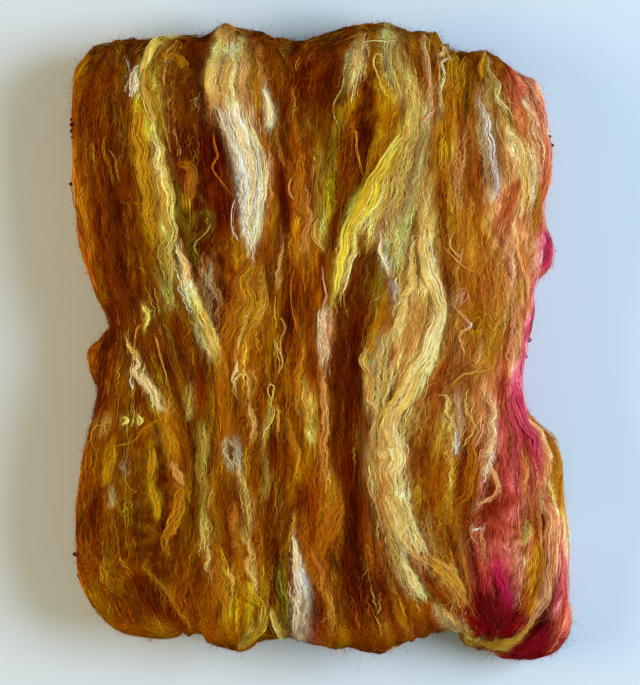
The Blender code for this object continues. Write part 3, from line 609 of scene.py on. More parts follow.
    ("satin", "rose magenta", (1.6, 3.8, 3.0), ((89, 27), (89.8, 14), (87.2, 2), (83.4, -11), (81, -20))),
    ("curly", "peach tan", (0.6, 1.4, 0.8), ((64, 8), (67, 0), (65, -5), (62, -8))),
    ("wavy", "gold tan", (0.3, 0.5, 0.3), ((74, -8.6), (66, -11), (58.6, -13.8), (54.7, -17.4),
     (51.2, -21.6))),
    ("curly", "grey tan lilac", (0.6, 1.1, 0.6), ((54.6, -17), (56.8, -27), (56, -38), (57, -48))),
    ("curly", "straw peach", (0.3, 0.6, 0.4), ((46, -21.5), (52.2, -22), (50.8, -29.5), (53.2, -35),
     (54.8, -46))),
    ("curly", "straw tan", (0.3, 0.6, 0.4), ((61.6, -19), (60, -29), (62.4, -34), (60.6, -40),
     (58.8, -48))),
    ("curly", "tan peach", (0.8, 2.0, 1.2), ((66, -14), (66.6, -26), (64.6, -38), (63, -50))),
    ("wavy", "amber orange", (1.4, 2.6, 1.4), ((63, -38), (62.6, -50), (60, -60), (57, -70))),
    ("curly", "peach tan cream", (1.0, 1.8, 1.6), ((69, -19), (71, -29), (68.8, -35.6), (69.6, -44),
     (66, -48.4), (68, -53.8))),
    ("wavy", "peach cream", (0.5, 1.1, 0.6), ((66, -50), (69.6, -54), (73, -59.4), (71, -63.6),
     (66.4, -66), (62.4, -71))),
    # The rose and coral bulge of the lower right, with its cream marks and dark crimson foot.
    ("satin", "magenta rose", (1.2, 2.8, 1.6), ((80, -16), (81.2, -26), (84.4, -35), (88.6, -41.4),
     (90.4, -50))),
    ("open", "rose coral rust", (2.0, 4.0, 3.0), ((76, -20), (77, -34), (79, -48), (81, -62))),
    ("wavy", "coral tan", (1.0, 2.0, 1.2), ((83, -42), (84, -54), (83, -66))),
    ("curly", "rust rose peach", (1.6, 2.6, 1.6), ((68, -74), (66.6, -84), (67.6, -94))),
    ("curly", "cream peach", (0.5, 0.9, 0.4), ((63.2, -75), (64.4, -80), (66.4, -85.4))),
    ("curly", "white cream", (0.3, 0.6, 0.3), ((64, -80), (66, -78.4), (68.4, -77.2))),
    ("open", "tan olive", (0.8, 1.8, 0.8), ((84.4, -74), (85, -79.6), (84.4, -85))),
    ("open", "peach rose", (0.3, 0.8, 0.3), ((80.8, -90), (81.8, -101), (81.2, -111))),
    ("open", "magenta crimson", (1.2, 2.2, 1.4), ((73, -90), (74.6, -100), (77.4, -109))),
    ("wavy", "amber orange", (1.6, 3.2, 1.6), ((90, -80), (90.6, -92), (89, -102), (85.6, -112))),
    ("open", "crimson oxblood", (3.0, 5.0, 3.4), ((70, -102), (72, -112), (76, -121))),
    # The rolled lip of the lower right, amber outside, peach inside, olive gold at the bottom.
    ("wavy", "gold orange amber", (0.8, 2.6, 2.2), ((86.6, -27), (92.6, -35), (97.4, -43), (99.4, -50),
     (98.2, -58), (98.8, -66))),
    ("roll", "apricot peach", (0.8, 1.6, 1.6), ((85, -30), (90.5, -38.7), (93.6, -48), (94, -56),
     (93.8, -64))),
    ("roll", "apricot peach", (1.6, 2.6, 2.0), ((93.6, -58), (94.2, -66), (96, -75), (97.4, -85),
     (96.6, -96.6), (94.4, -107.4), (90.4, -115.6), (85, -121))),
    ("open", "orange amber", (1.4, 2.2, 1.6), ((92.4, -86), (91.6, -96), (89.6, -105), (86, -113))),
    ("wavy", "mustard straw", (1.6, 2.6, 1.8), ((91, -113), (87.4, -120), (81, -125.4), (72, -127.6),
     (64, -125.6), (57.6, -122.6))),
    ("satin", "rose coral", (0.8, 1.6, 1.4), ((101, -82), (101.4, -94), (99.6, -106), (96, -116))),
    ("open", "coral rose", (0.8, 2.0, 1.6), ((103.4, -92), (104, -98), (103.2, -110), (101, -122))),
    ("satin", "crimson", (1.6, 3.4, 2.0), ((98.6, -115), (94, -123.6), (86.4, -129.6), (77, -131))),
    # The white silk of the bottom edge and the green and gold beside it.
    ("satin", "white cream", (0.3, 1.2, 1.9), ((-12.4, -78.6), (-11.8, -85), (-11.4, -91), (-10.8, -96),
     (-9.6, -100))),
    ("satin", "white silver", (1.4, 2.2, 2.2), ((-11, -94), (-9.6, -99.4), (-8.2, -103), (-8, -108))),
    ("wavy", "silver white grey", (1.8, 3.4, 2.8), ((-9, -100), (-9, -108), (-9.6, -116), (-9.4, -126))),
    ("satin", "white cream", (0.5, 0.9, 0.6), ((-13, -105), (-11, -110), (-8.6, -115))),
    ("open", "gold butter", (0.4, 0.8, 0.4), ((-12, -70), (-12.6, -77), (-14.4, -88))),
    ("wavy", "moss olive", (0.8, 1.8, 1.0), ((-18, -92), (-17.2, -105), (-16.6, -114), (-13.4, -125))),
    ("satin", "straw olive", (0.8, 1.6, 1.2), ((-22.6, -109), (-21.2, -116), (-18.4, -122),
     (-14.6, -127))),
    ("satin", "mustard butter", (0.8, 2.0, 1.2), ((-22.8, -109), (-25.2, -117), (-29.6, -123),
     (-35, -128))),
    ("open", "grey straw tan", (1.4, 3.0, 2.0), ((47.6, -111), (51.4, -115.6), (55.6, -119),
     (60, -122.4))),
    # The crimped strands and noils of the lower left.
    ("curly", "cream tan", (0.5, 0.9, 0.8), ((-80.6, -4), (-77, -8.6), (-79.6, -11.6), (-76, -15.4),
     (-72.4, -20))),
    ("curly", "cream tan straw", (0.8, 1.4, 0.8), ((-78.6, -12), (-75, -15), (-71.6, -20), (-69, -24),
     (-66.6, -27), (-64.6, -29))),
    ("curly", "straw gold", (0.5, 1.0, 0.6), ((-83, 3), (-80.6, -1.6), (-78.6, -4.6), (-77, -8))),
    ("curly", "butter mustard", (0.7, 1.3, 0.7), ((-76, 17.5), (-74.5, 11.6), (-74.6, 4.5))),
    ("hair", "gold", (0.3, 0.5, 0.3), ((-75.3, 8), (-78.3, 5), (-78.8, -1), (-80, -6))),
    ("hair", "gold tan", (0.2, 0.4, 0.2), ((-72.6, 6.5), (-70, 2), (-68.5, -3), (-66.5, -12),
     (-64.6, -20))),
    ("open", "gold amber", (1.2, 2.6, 2.4), ((-66.4, -27), (-64.6, -36), (-63, -44), (-60.8, -50))),
    ("curly", "tan gold", (1.0, 1.9, 1.0), ((-63, -49), (-60.6, -54), (-59, -60))),
    ("curly", "gold amber", (1.4, 2.6, 1.6), ((-58.8, -56), (-59.4, -64), (-62, -74), (-65, -82),
     (-65.6, -90))),
    ("hair", "gold", (0.1, 0.2, 0.1), ((-100, -45), (-96, -40), (-95.6, -36.6), (-93, -34.4),
     (-90.6, -34))),
    ("fine", "gold tan", (0.05, 0.15, 0.05), ((-92, -38), (-90.6, -41.4), (-87.6, -43), (-83.6, -42.4),
     (-79.4, -41), (-76.8, -38), (-74.4, -35), (-71, -33.2), (-67, -31), (-63, -28), (-58, -24.5))),
    ("open", "olive tan", (1.2, 1.8, 1.0), ((-89.6, -30), (-92, -35), (-91.4, -39))),
    ("curly", "butter straw", (0.5, 1.0, 0.5), ((-84.6, -30), (-83.4, -32.4), (-84.4, -35))),
    ("curly", "butter straw", (0.5, 1.1, 0.5), ((-78.8, -29), (-77.4, -32), (-77, -35))),
    ("wavy", "gold mustard", (1.2, 2.0, 1.4), ((-73, -42), (-71.6, -48), (-71.2, -53), (-73, -57))),
    ("wavy", "gold mustard yellow", (1.2, 1.8, 0.9), ((-72.6, -54), (-72.2, -60), (-69.8, -65.4),
     (-69.4, -73))),
    ("open", "grey olive", (0.5, 1.1, 0.5), ((-83.2, -48.6), (-83, -51.4), (-82.4, -54))),
    ("open", "grey olive", (0.5, 1.2, 0.5), ((-88.8, -60), (-88.4, -64.4), (-88, -68))),
    ("wavy", "gold mustard", (0.8, 1.6, 0.8), ((-87, -42), (-88.8, -50), (-89.6, -58))),
    ("open", "gold amber", (0.4, 0.9, 0.5), ((-76.4, -90), (-74, -95), (-69.8, -100), (-65, -105),
     (-61, -110))),
    ("open", "amber gold", (0.8, 1.6, 1.0), ((-67, -102), (-62, -109), (-56.6, -117))),
    ("open", "straw olive", (0.8, 1.3, 0.8), ((-55.2, -17), (-55.8, -24), (-55, -32))),
    ("open", "olive tan", (1.4, 2.4, 1.4), ((-52, -34), (-50.6, -44), (-51, -56), (-49, -68))),
    ("fine", "tan", (0.4, 0.6, 0.4), ((-54, -49), (-51, -46), (-49.2, -41), (-49.6, -36))),
    ("open", "olive straw", (1.2, 2.0, 1.2), ((-50, -70), (-49.6, -78), (-48, -88))),
    ("curly", "straw grey cream", (0.5, 1.0, 0.5), ((-48.4, -84), (-47.8, -91), (-47, -98))),
    ("wavy", "grey cream", (0.4, 0.7, 0.5), ((-40, -38), (-41.4, -44), (-39.4, -50), (-36, -54.6))),
    ("wavy", "grey silver", (0.5, 1.0, 0.6), ((-38.6, -38), (-36.2, -43), (-36.4, -49), (-35, -54))),
    ("open", "straw olive grey", (0.8, 1.7, 1.4), ((-37, -50), (-34.6, -55.6), (-34, -61.6), (-32, -67),
     (-31.2, -75), (-32, -82))),
    ("curly", "straw tan", (0.8, 1.4, 0.8), ((-31.8, -80), (-30, -88), (-30.2, -93), (-28.5, -98),
     (-28, -106))),
    ("open", "olive tan", (0.6, 1.4, 0.6), ((-24.4, -46), (-23.4, -56), (-25, -66))),
    ("curly", "straw gold", (0.5, 1.0, 0.7), ((-42, -90), (-39.4, -97), (-38.4, -101), (-37.8, -106))),
    ("curly", "gold straw", (0.6, 1.2, 0.6), ((-38.4, -92), (-38.4, -99), (-38, -107))),
    ("curly", "mustard gold", (1.2, 2.4, 1.6), ((-35, -98), (-32, -104), (-29, -108), (-26, -112))),
    ("curly", "amber gold", (1.4, 3.0, 1.6), ((-44, -82), (-42, -94), (-42, -106), (-40, -116))),
    ("open", "amber tan", (0.8, 1.6, 0.8), ((-36, -66), (-38, -76), (-37.6, -86))))

names = list(DYES)
PALETTE = np.array([linear(*rgb) for rgb in DYES.values()])
# The dyes before straw come out a tenth darker than the table says.
PALETTE[:names.index("straw")] *= 0.9
shares = np.zeros((len(FINE_Y), len(FINE_X), len(DYES)))
for dye, zone_x, zone_y, reach_x, reach_y, share in ZONES:
    near_x = np.exp(-((FINE_X - zone_x) / reach_x) ** 2)
    near_y = np.exp(-((FINE_Y - zone_y) / reach_y) ** 2)
    shares[:, :, names.index(dye)] += share * near_y[:, None] * near_x[None, :]
shares /= shares.sum(axis=2, keepdims=True)

# A lock laid on the wool also tints it: some of its fibres are carded in round it. The tint is a
# little narrower than the lock and fades at both ends, and the first dye of the lock counts most.
TINT = {"satin": 3.0, "wavy": 2.6, "curly": 1.0, "open": 2.4, "hair": 0, "fine": 0, "roll": 3.0,
        "rope": 2.4}
SECOND_DYE = 0.6
TINT_WIDTH = 0.85
TINT_FADE = 0.12
ALONG = 40
for kind, dyes, widths, route in LOCKS:
    line = smooth_route(route, count=ALONG)
    run = np.linspace(0, 1, ALONG)
    half = TINT_WIDTH * np.interp(run, (0, 0.5, 1), widths)
    fade = np.clip(np.minimum(run, 1 - run) / TINT_FADE, 0.3, 1)
    near = np.zeros(shares.shape[:2])
    for (x, y), w, f in zip(line, half, fade):
        around = np.exp(-((FINE_X[None, :] - x) / w) ** 2 - ((FINE_Y[:, None] - y) / w) ** 2)
        near = np.maximum(near, f * around)
    for place, dye in enumerate(dyes.split()):
        shares[:, :, names.index(dye)] += TINT[kind] * (1 if place == 0 else SECOND_DYE) * near
shares /= shares.sum(axis=2, keepdims=True)


def dye_shares(x, y):
    """The share of each dye at places given in millimetres."""
    return on_grid(shares, x, y, FINE)


# Deep between the licks less light gets out, and what does is redder: from about -1 to 1. It is painted
# into the colours: painted shade in the hollows, painted light on the ridges.
grid_x, grid_y = [part.ravel() for part in np.meshgrid(FINE_X, FINE_Y)]
grid_u = on_grid(carried, grid_x, grid_y)
grid_z = np.zeros(len(grid_x))
crimped_u = grid_u + 1.2 * np.sin(grid_y / 2.4)
depth = (1.7 * combed_noise(grid_u, grid_y, grid_z, fine=3.6, long=26, deep=5, seed=11)
         + 1.3 * combed_noise(crimped_u, grid_y, grid_z, fine=1.9, long=15, deep=1, seed=2)
         + 0.9 * combed_noise(grid_u, grid_y, grid_z, fine=9, long=30, deep=1, seed=8))
for half_width, height, route in RELIEF:
    depth += 0.3 * min(height, 0.8) * nearness(grid_x, grid_y, route, half_width)
DEPTH = depth.reshape(len(FINE_Y), len(FINE_X), 1)
DEPTH_LIMITS = (-1.4, 1.1)
REDDER = np.array([0.42, 0.98, 1.3])


def with_painted_hollow_shade(colours, x, y, share):
    """Colours at places in millimetres, with painted shade: darker and redder in the hollows, and lighter
    on the ridges.
    """
    depth = np.clip(on_grid(DEPTH, x, y, FINE), *DEPTH_LIMITS)
    return colours * np.exp(share * depth * REDDER)


# The mat's colour: its dyes, in streaks of random tone, with painted shade in the hollows and painted
# light on the ridges.
streak = combed_noise(strand_u, mm_y, mm_z, fine=2.4, long=40, deep=4, seed=0)
shade = with_painted_hollow_shade(dye_shares(mm_x, mm_y) @ PALETTE, mm_x, mm_y, share=0.8) * (0.8 + 0.3 * streak)[:, None]


def add_attributes(mesh, colour, combed):
    """The colour of each vertex, its dye with painted shade and light in it, and its place across and
    along the fibres.
    """
    dyed = mesh.color_attributes.new("dye", "FLOAT_COLOR", "POINT")
    rgba = np.column_stack([np.clip(colour, 0, 1), np.ones(len(colour))])
    dyed.data.foreach_set("color", rgba.astype(np.float32).ravel())
    mesh.attributes.new("combed", "FLOAT_VECTOR", "POINT").data.foreach_set(
        "vector", combed.astype(np.float32).ravel())


# On the end walls the fibres run up and down, on the others along the mat.
depth_on_walls = mm_z * (1 - 0.85 * np.abs(outward[:, 1]))
add_attributes(mat.data, shade, np.column_stack([strand_u, mm_y, depth_on_walls]))


class Socket:
    """A shader value that can be used in a Python expression, which adds its Math nodes."""

    def __init__(self, tree, socket):
        self.tree, self.socket = tree, socket

    def node(self, kind, inputs=(), output=0, **settings):
        """Any node, from its type, settings and the values or links of its sockets."""
        made = self.tree.nodes.new(kind)
        for name, value in settings.items():
            setattr(made, name, value)
        for key, value in dict(inputs).items():
            if isinstance(value, Socket):
                self.tree.links.new(value.socket, made.inputs[key])
            else:
                made.inputs[key].default_value = value
        return Socket(self.tree, made.outputs[output])

    def out(self, name):
        """Another output of the same node."""
        return Socket(self.tree, self.socket.node.outputs[name])

    def math(self, operation, first, second):
        return self.node("ShaderNodeMath", {0: first, 1: second}, operation=operation)

    def __add__(self, other):
        return self.math("ADD", self, other)

    def __radd__(self, other):
        return self.math("ADD", other, self)

    def __sub__(self, other):
        return self.math("SUBTRACT", self, other)

    def __rsub__(self, other):
        return self.math("SUBTRACT", other, self)

    def __mul__(self, other):
        return self.math("MULTIPLY", self, other)

    def __rmul__(self, other):
        return self.math("MULTIPLY", other, self)

    def into(self, shader, name):
        self.tree.links.new(self.socket, shader.inputs[name])


CRIMP_TURN = 1.37     # the crimp of the wool, in radians to a millimetre


def fibre_material(name, roughness, shine, fine, contrast, crimp):
    """Dyed fibre: the colour of each strand, its dye with painted shade and light in it, in crimped
    streaks finer than a millimetre.

    fine is how many streaks there are to a millimetre, about, and contrast how far they differ."""
    made, shader = principled(name, (0.3, 0.12, 0.03), roughness)
    shader.inputs["Specular IOR Level"].default_value = shine
    start = Socket(made.node_tree, None)
    combed = start.node("ShaderNodeAttribute", attribute_name="combed", output="Vector")
    place = start.node("ShaderNodeSeparateXYZ", {"Vector": combed}, output="X")
    across, along, deep = place, place.out("Y"), place.out("Z")
    slow_place = start.node("ShaderNodeMapping", {"Vector": combed, "Scale": (0.16, 0.08, 0.16)})
    slow = start.node("ShaderNodeTexNoise", {"Vector": slow_place, "Scale": 1.0, "Detail": 1.0},
                      output="Fac")
    turn = along * CRIMP_TURN + slow * 16.0
    wave = turn.math("SINE", turn, 0.0)
    waved = start.node("ShaderNodeCombineXYZ",
                       {0: (across + wave * crimp) * fine, 1: along * 0.14, 2: deep * fine * 0.7})
    grain = start.node("ShaderNodeTexNoise", {"Vector": waved, "Scale": 1.0, "Detail": 3.0}, output="Fac")
    spread = start.node("ShaderNodeMapRange", {"Value": grain, "From Min": 0.32, "From Max": 0.68},
                        output="Result")
    # The dye attribute holds each vertex's dye with its painted shade and light.
    dye = start.node("ShaderNodeAttribute", attribute_name="dye", output="Color")
    darkest = tuple(1 - part * contrast for part in (1, 1.3, 1.5))
    lightest = tuple(1 + part * contrast for part in (1, 1.3, 1.5))
    darker = start.node("ShaderNodeVectorMath", {0: dye, 1: darkest}, operation="MULTIPLY")
    lighter = start.node("ShaderNodeVectorMath", {0: dye, 1: lightest}, operation="MULTIPLY")
    mixed = start.node("ShaderNodeMix", {0: spread, 6: darker, 7: lighter}, output=2, data_type="RGBA")
    mixed.into(shader, "Base Color")
    bump = start.node("ShaderNodeBump", {"Height": grain, "Strength": 0.8, "Distance": 0.6 * MM},
                      output="Normal")
    bump.into(shader, "Normal")
    return made


mat.data.materials.append(fibre_material(
    "carded_wool_body", roughness=0.95, shine=0.0, fine=1.5, contrast=0.45, crimp=0.12))
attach(mat, "root")
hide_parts("batt")


# ---- The carded fibres ----------------------------------------------------------------------
# The wool lies in fine strands, combed nearly parallel by the carder, a few together in a lick.
# They run along the mat, over the fold and round its edges, each mostly of one dye.

rng = np.random.default_rng(7)


def combed_way(at):
    """The way the fibres run at each place."""
    lean = on_grid(LEAN, at[:, 0] / MM, at[:, 1] / MM)
    return unit(np.column_stack([lean, np.ones(len(at)), np.zeros(len(at))]))


def walk(starts, headings, step, count, hold):
    """Steps along the mat's surface from each start: the places and the normals there."""
    at, heading = starts.copy(), headings.copy()
    spots, normals = np.empty((len(at), count, 3)), np.empty((len(at), count, 3))
    for k in range(count):
        for i, place in enumerate(at):
            spot, normal, _, _ = skin.find_nearest(place)
            at[i] = spot
            normals[i, k] = normal
        spots[:, k] = at
        facing = normals[:, k]
        way = combed_way(at)
        way -= facing * (way * facing).sum(1, keepdims=True)
        way *= np.sign((way * heading).sum(1, keepdims=True) + 1e-9)
        heading = heading - facing * (heading * facing).sum(1, keepdims=True)
        heading = unit(unit(heading) + hold * way)
        at = at + heading * step
    for _ in range(2):
        spots[:, 1:-1] = (spots[:, :-2] + 2 * spots[:, 1:-1] + spots[:, 2:]) / 4
        normals[:, 1:-1] = (normals[:, :-2] + 2 * normals[:, 1:-1] + normals[:, 2:]) / 4
    return spots, unit(normals)


def read_along(rows, share):
    """Values between the columns of an array, at a share of the way along: rows is (n, k, 3)."""
    k = np.clip(share, 0, 1) * (rows.shape[1] - 1)
    low = np.minimum(k.astype(int), rows.shape[1] - 2)
    part = (k - low)[..., None]
    line = np.arange(len(rows))[:, None]
    before, after = rows[line, np.maximum(low - 1, 0)], rows[line, np.minimum(low + 2, rows.shape[1] - 1)]
    a, b = rows[line, low], rows[line, low + 1]
    return 0.5 * (2 * a + (b - before) * part + (2 * before - 5 * a + 4 * b - after) * part ** 2
                  + (3 * a - before - 3 * b + after) * part ** 3)


def waver(a, b, seed):
    """Smooth noise at arrays of places, of about -0.5 to 0.5."""
    flat_noise = combed_noise(a.ravel(), b.ravel(), np.zeros(a.size), fine=1, long=1, deep=1, seed=seed)
    return flat_noise.reshape(a.shape)


def strands_on(spots, normals, half_width, dome, s, points):
    """Strands laid on their guides: middle line, flat side, thickness, dye and combed place.

    spots and normals are the guides' own. s holds one value per strand: which guide, its place
    across (-1 to 1), where it starts and stops along the guide, how high it lies, its crimp, wave
    length and phase, how far its flat side is turned, its thickness and its dye. With no wave
    length the crimp follows that of the wool round it."""
    t = np.linspace(0, 1, points)[None, :]
    share = s["start"][:, None] + (s["stop"] - s["start"])[:, None] * t
    guide, across = s["guide"], s["across"][:, None]
    middle = read_along(spots[guide], share)
    facing = unit(read_along(normals[guide], share))
    side = unit(np.cross(unit(np.gradient(middle, axis=1)), facing))
    lengths = np.linalg.norm(np.diff(spots, axis=1), axis=2).sum(1)
    run = share * lengths[guide][:, None]
    phase = s["phase"][:, None]
    if "wave" in s:
        drift = waver(run / 9 / MM + phase[0], across + 0 * run, 4)
        turn = 2 * np.pi * run / s["wave"][:, None] + 5 * drift + phase
    else:
        x, y, z = np.moveaxis(middle / MM, -1, 0)
        turn = CRIMP_TURN * (y + z) + 11 * waver(x / 7, (y + z) / 16, 6) + phase
        side = side * np.sign(side[..., :1] + 1e-9)
    swing = np.sin(turn) + 0.35 * np.sin(2.3 * turn + 2 * phase)
    wander = s["wander"][:, None] * np.sin(2 * np.pi * (t * s["slow"][:, None]) + 7 * phase)
    lateral = across * half_width(guide, share) + s["crimp"][:, None] * swing + wander
    tuck = np.minimum(1, 4 * np.minimum(t, 1 - t))
    up = (dome(guide, share) * np.sqrt(np.maximum(0, 1 - across ** 2)) + s["lift"][:, None]) * tuck
    up = up + 0.6 * s["crimp"][:, None] * np.cos(turn + across) - (1 - tuck) * 0.5 * MM
    line = middle + side * lateral[..., None] + facing * up[..., None]
    ahead = unit(np.gradient(line, axis=1))
    flat = unit(np.cross(ahead, facing))
    roll = s["roll"][:, None] + s["twist"][:, None] * t
    flat = flat * np.cos(roll)[..., None] + np.cross(flat, ahead) * np.sin(roll)[..., None]
    combed = np.stack([lateral / MM + 37 * phase, run / MM, 11 * phase + 0 * run], -1)
    return {"line": line, "flat": flat, "thick": s["thick"], "colour": s["colour"], "combed": combed}


TIP = 0.25     # how wide a strand is at its very ends, as a share of its middle


def strand_piece(name, batches, material):
    """One piece of ribbons, each tapered at both ends, with its dye and its own place in the UV map."""
    total = sum(len(b["line"]) for b in batches)
    rows = math.ceil(math.sqrt(total / 10))
    columns = math.ceil(total / rows)
    corners, shades, combed, faces, where, count, made_before = [], [], [], [], [], 0, 0
    for b in batches:
        n, m = b["line"].shape[:2]
        t = np.linspace(0, 1, m)[None, :]
        taper = np.minimum(1, TIP + 5 * np.minimum(t, 1 - t))
        half = (b["thick"][:, None] * taper / 2)[..., None] * b["flat"]
        corners.append(np.stack([b["line"] - half, b["line"] + half], axis=2).reshape(-1, 3))
        colour = b["colour"]
        if colour.ndim == 2:
            colour = np.repeat(colour[:, None], m, axis=1)
        shades.append(np.repeat(colour, 2, axis=1).reshape(-1, 3))
        place = np.repeat(b["combed"][:, :, None, :], 2, axis=2)
        place[:, :, 0, 0] -= b["thick"][:, None] * taper / 2 / MM
        place[:, :, 1, 0] += b["thick"][:, None] * taper / 2 / MM
        combed.append(place.reshape(-1, 3))
        first = count + (np.arange(n)[:, None] * m + np.arange(m - 1)[None, :]).ravel() * 2
        quads = np.column_stack([first, first + 1, first + 3, first + 2])
        faces.append(quads)
        cell = made_before + np.arange(n)
        sides = np.array([0.25, 0.75])[None, None, :]
        u = (cell[:, None, None] % columns + sides) / columns + np.zeros((n, m, 2))
        v = (cell[:, None, None] // columns + 0.04 + 0.92 * t[..., None]) / rows + np.zeros((n, m, 2))
        where.append(np.stack([u, v], axis=-1).reshape(-1, 2)[(quads - count).ravel()])
        count += n * m * 2
        made_before += n
    corners, faces = np.vstack(corners), np.vstack(faces)
    mesh = bpy.data.meshes.new(name)
    mesh.vertices.add(len(corners))
    mesh.vertices.foreach_set("co", corners.astype(np.float32).ravel())
    mesh.loops.add(faces.size)
    mesh.loops.foreach_set("vertex_index", faces.astype(np.int32).ravel())
    mesh.polygons.add(len(faces))
    mesh.polygons.foreach_set("loop_start", (np.arange(len(faces)) * 4).astype(np.int32))
    mesh.update(calc_edges=True)
    mesh.shade_smooth()
    add_attributes(mesh, np.vstack(shades), np.vstack(combed))
    mesh.uv_layers.new(name="OFBake").uv.foreach_set("vector", np.vstack(where).astype(np.float32).ravel())
    mesh.materials.append(material)
    made = bpy.data.objects.new(name, mesh)
    bpy.context.scene.collection.objects.link(made)
    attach(made, "root")
    return made


def pick_dyes(x, y, jitter):
    """One dye for each place, by its share there, the same for neighbours along a streak."""
    streaks = combed_noise(on_grid(carried, x, y), y, np.zeros(len(x)), fine=2.6, long=34, deep=1, seed=5)
    toss = 1 / (1 + np.exp(-7 * streaks)) + rng.normal(0, jitter, len(x))
    chances = np.cumsum(dye_shares(x, y), axis=1)
    toss = np.clip(toss, 0.001, 0.999)
    return np.array([min(len(PALETTE) - 1, int(np.searchsorted(row, v))) for row, v in zip(chances, toss)])


def vary(colours, spread):
    """Each strand's dye a little lighter and yellower, or darker and redder."""
    light = np.exp(rng.normal(0, spread, len(colours))[:, None] * (0.8, 1.25, 1.4))
    tint = np.exp(rng.normal(0, spread * 0.25, (len(colours), 3)))
    return colours * light * tint


# The faces of the mat, from which strands start, the more the larger they are.
faces = mat.data.polygons
areas, centres, facings = np.empty(len(faces)), np.empty(len(faces) * 3), np.empty(len(faces) * 3)
faces.foreach_get("area", areas)
faces.foreach_get("center", centres)
faces.foreach_get("normal", facings)
centres, facings = centres.reshape(-1, 3), facings.reshape(-1, 3)
wool = fibre_material("carded_wool", roughness=0.85, shine=0.02, fine=2.6, contrast=0.2, crimp=0.0)

# Where the fibres are crimped: middle, reach across and along, and how strongly.
CRINKLE = ((62, 10, 16, 50, 0.5), (50, -60, 20, 40, 0.3), (-36, -100, 22, 26, 0.4), (30, 40, 16, 30, 0.2),
           (-48, 30, 10, 22, 0.3), (20, -110, 24, 20, 0.2), (-30, -10, 12, 24, 0.2))
PLAIN_CRINKLE = 0.55


def crinkle_at(x, y):
    """How strongly the fibres are crimped at a place in millimetres, from about 0.5 to 1.1."""
    total = np.full(len(x), PLAIN_CRINKLE)
    for zone_x, zone_y, reach_x, reach_y, amount in CRINKLE:
        total += amount * np.exp(-((x - zone_x) / reach_x) ** 2 - ((y - zone_y) / reach_y) ** 2)
    return total


GUIDE_STEP = 2.8 * MM
LICK_HALF_WIDTH = (0.5, 1.6)
PICKED_SHARE = 0.75     # of a strand's own dye; the rest is the mean of the dyes there
OWN_SHARE = 0.65        # of the colour it then keeps among the wool round it
FREE_SHARE = 0.28
# How much lighter the highlit strands are painted, as painted highlight, and how much darker the rest, as
# painted shade.
FREE_PAINTED_HIGHLIGHT = (1.38, 1.5, 1.45)
HIDDEN_PAINTED_SHADE = 0.92


def carded(chosen, guides, strands_each, length, points, thick, lift, crimp, light, haze, spread, stray):
    """A batch of carded fibres: licks seeded on the chosen faces, each a few strands wide."""
    share = areas[chosen] / areas[chosen].sum()
    seeds = centres[rng.choice(chosen, guides, p=share)]
    count = max(5, int(length / GUIDE_STEP))
    away = rng.normal(0, stray, (guides, 3))
    away += np.where(rng.random(guides) < 0.5, 1.0, -1.0)[:, None] * [[0, 1, 0]]
    spots, normals = walk(seeds, away, length / (count - 1), count, hold=0.6 / (1 + 3 * stray))
    x, y = spots[:, count // 2, 0] / MM, spots[:, count // 2, 1] / MM
    crinkle = crinkle_at(x, y)
    n = guides * strands_each
    guide = np.repeat(np.arange(guides), strands_each)
    wide = rng.uniform(*LICK_HALF_WIDTH, guides) * MM
    across = rng.uniform(-1, 1, n)
    strand_x = x[guide] + across * wide[guide] / MM
    picked = PALETTE[pick_dyes(strand_x, y[guide], jitter=0.1)]
    dyed = PICKED_SHARE * picked + (1 - PICKED_SHARE) * dye_shares(strand_x, y[guide]) @ PALETTE
    # Some strands are painted lighter, as painted highlight on fibres that lie free and catch the light;
    # the rest are painted a little darker, as painted shade on half hidden fibres.
    free = (rng.random(n) < FREE_SHARE)[:, None]
    dyed = dyed * light * np.where(free, FREE_PAINTED_HIGHLIGHT, HIDDEN_PAINTED_SHADE)
    dyed = dyed + (haze + 0.02 * free) * PALETTE[names.index("straw")]
    s = {
        "guide": guide, "across": across, "start": rng.uniform(0, 0.2, n), "stop": rng.uniform(0.8, 1, n),
        "lift": rng.uniform(lift[0], lift[1], n) * MM,
        "crimp": crinkle[guide] * rng.uniform(crimp[0], crimp[1], n) * MM, "phase": rng.normal(0, 0.7, n),
        "wander": rng.normal(0, 0.4, n) * MM, "slow": rng.uniform(0.3, 1.2, n),
        "roll": rng.normal(0, 0.3, n), "twist": rng.normal(0, 0.5, n),
        "thick": rng.uniform(thick[0], thick[1], n) * MM, "colour": vary(dyed, spread)}
    made = strands_on(spots, normals,
                      lambda g, k: wide[g][:, None] * (0.7 + 0.3 * np.cos(3 * k + g[:, None])),
                      lambda g, k: np.full(k.shape, 0.3 * MM), s, points)
    # A strand takes on some of the colour of the wool round it all along its way, with painted shade in
    # the hollows it lies in and painted light on the ridges.
    x, y = made["line"][..., 0].ravel() / MM, made["line"][..., 1].ravel() / MM
    own = np.repeat(made["colour"], points, axis=0)
    blended = OWN_SHARE * own + (1 - OWN_SHARE) * light * dye_shares(x, y) @ PALETTE
    made["colour"] = with_painted_hollow_shade(blended, x, y, share=0.9).reshape(n, points, 3)
    return made


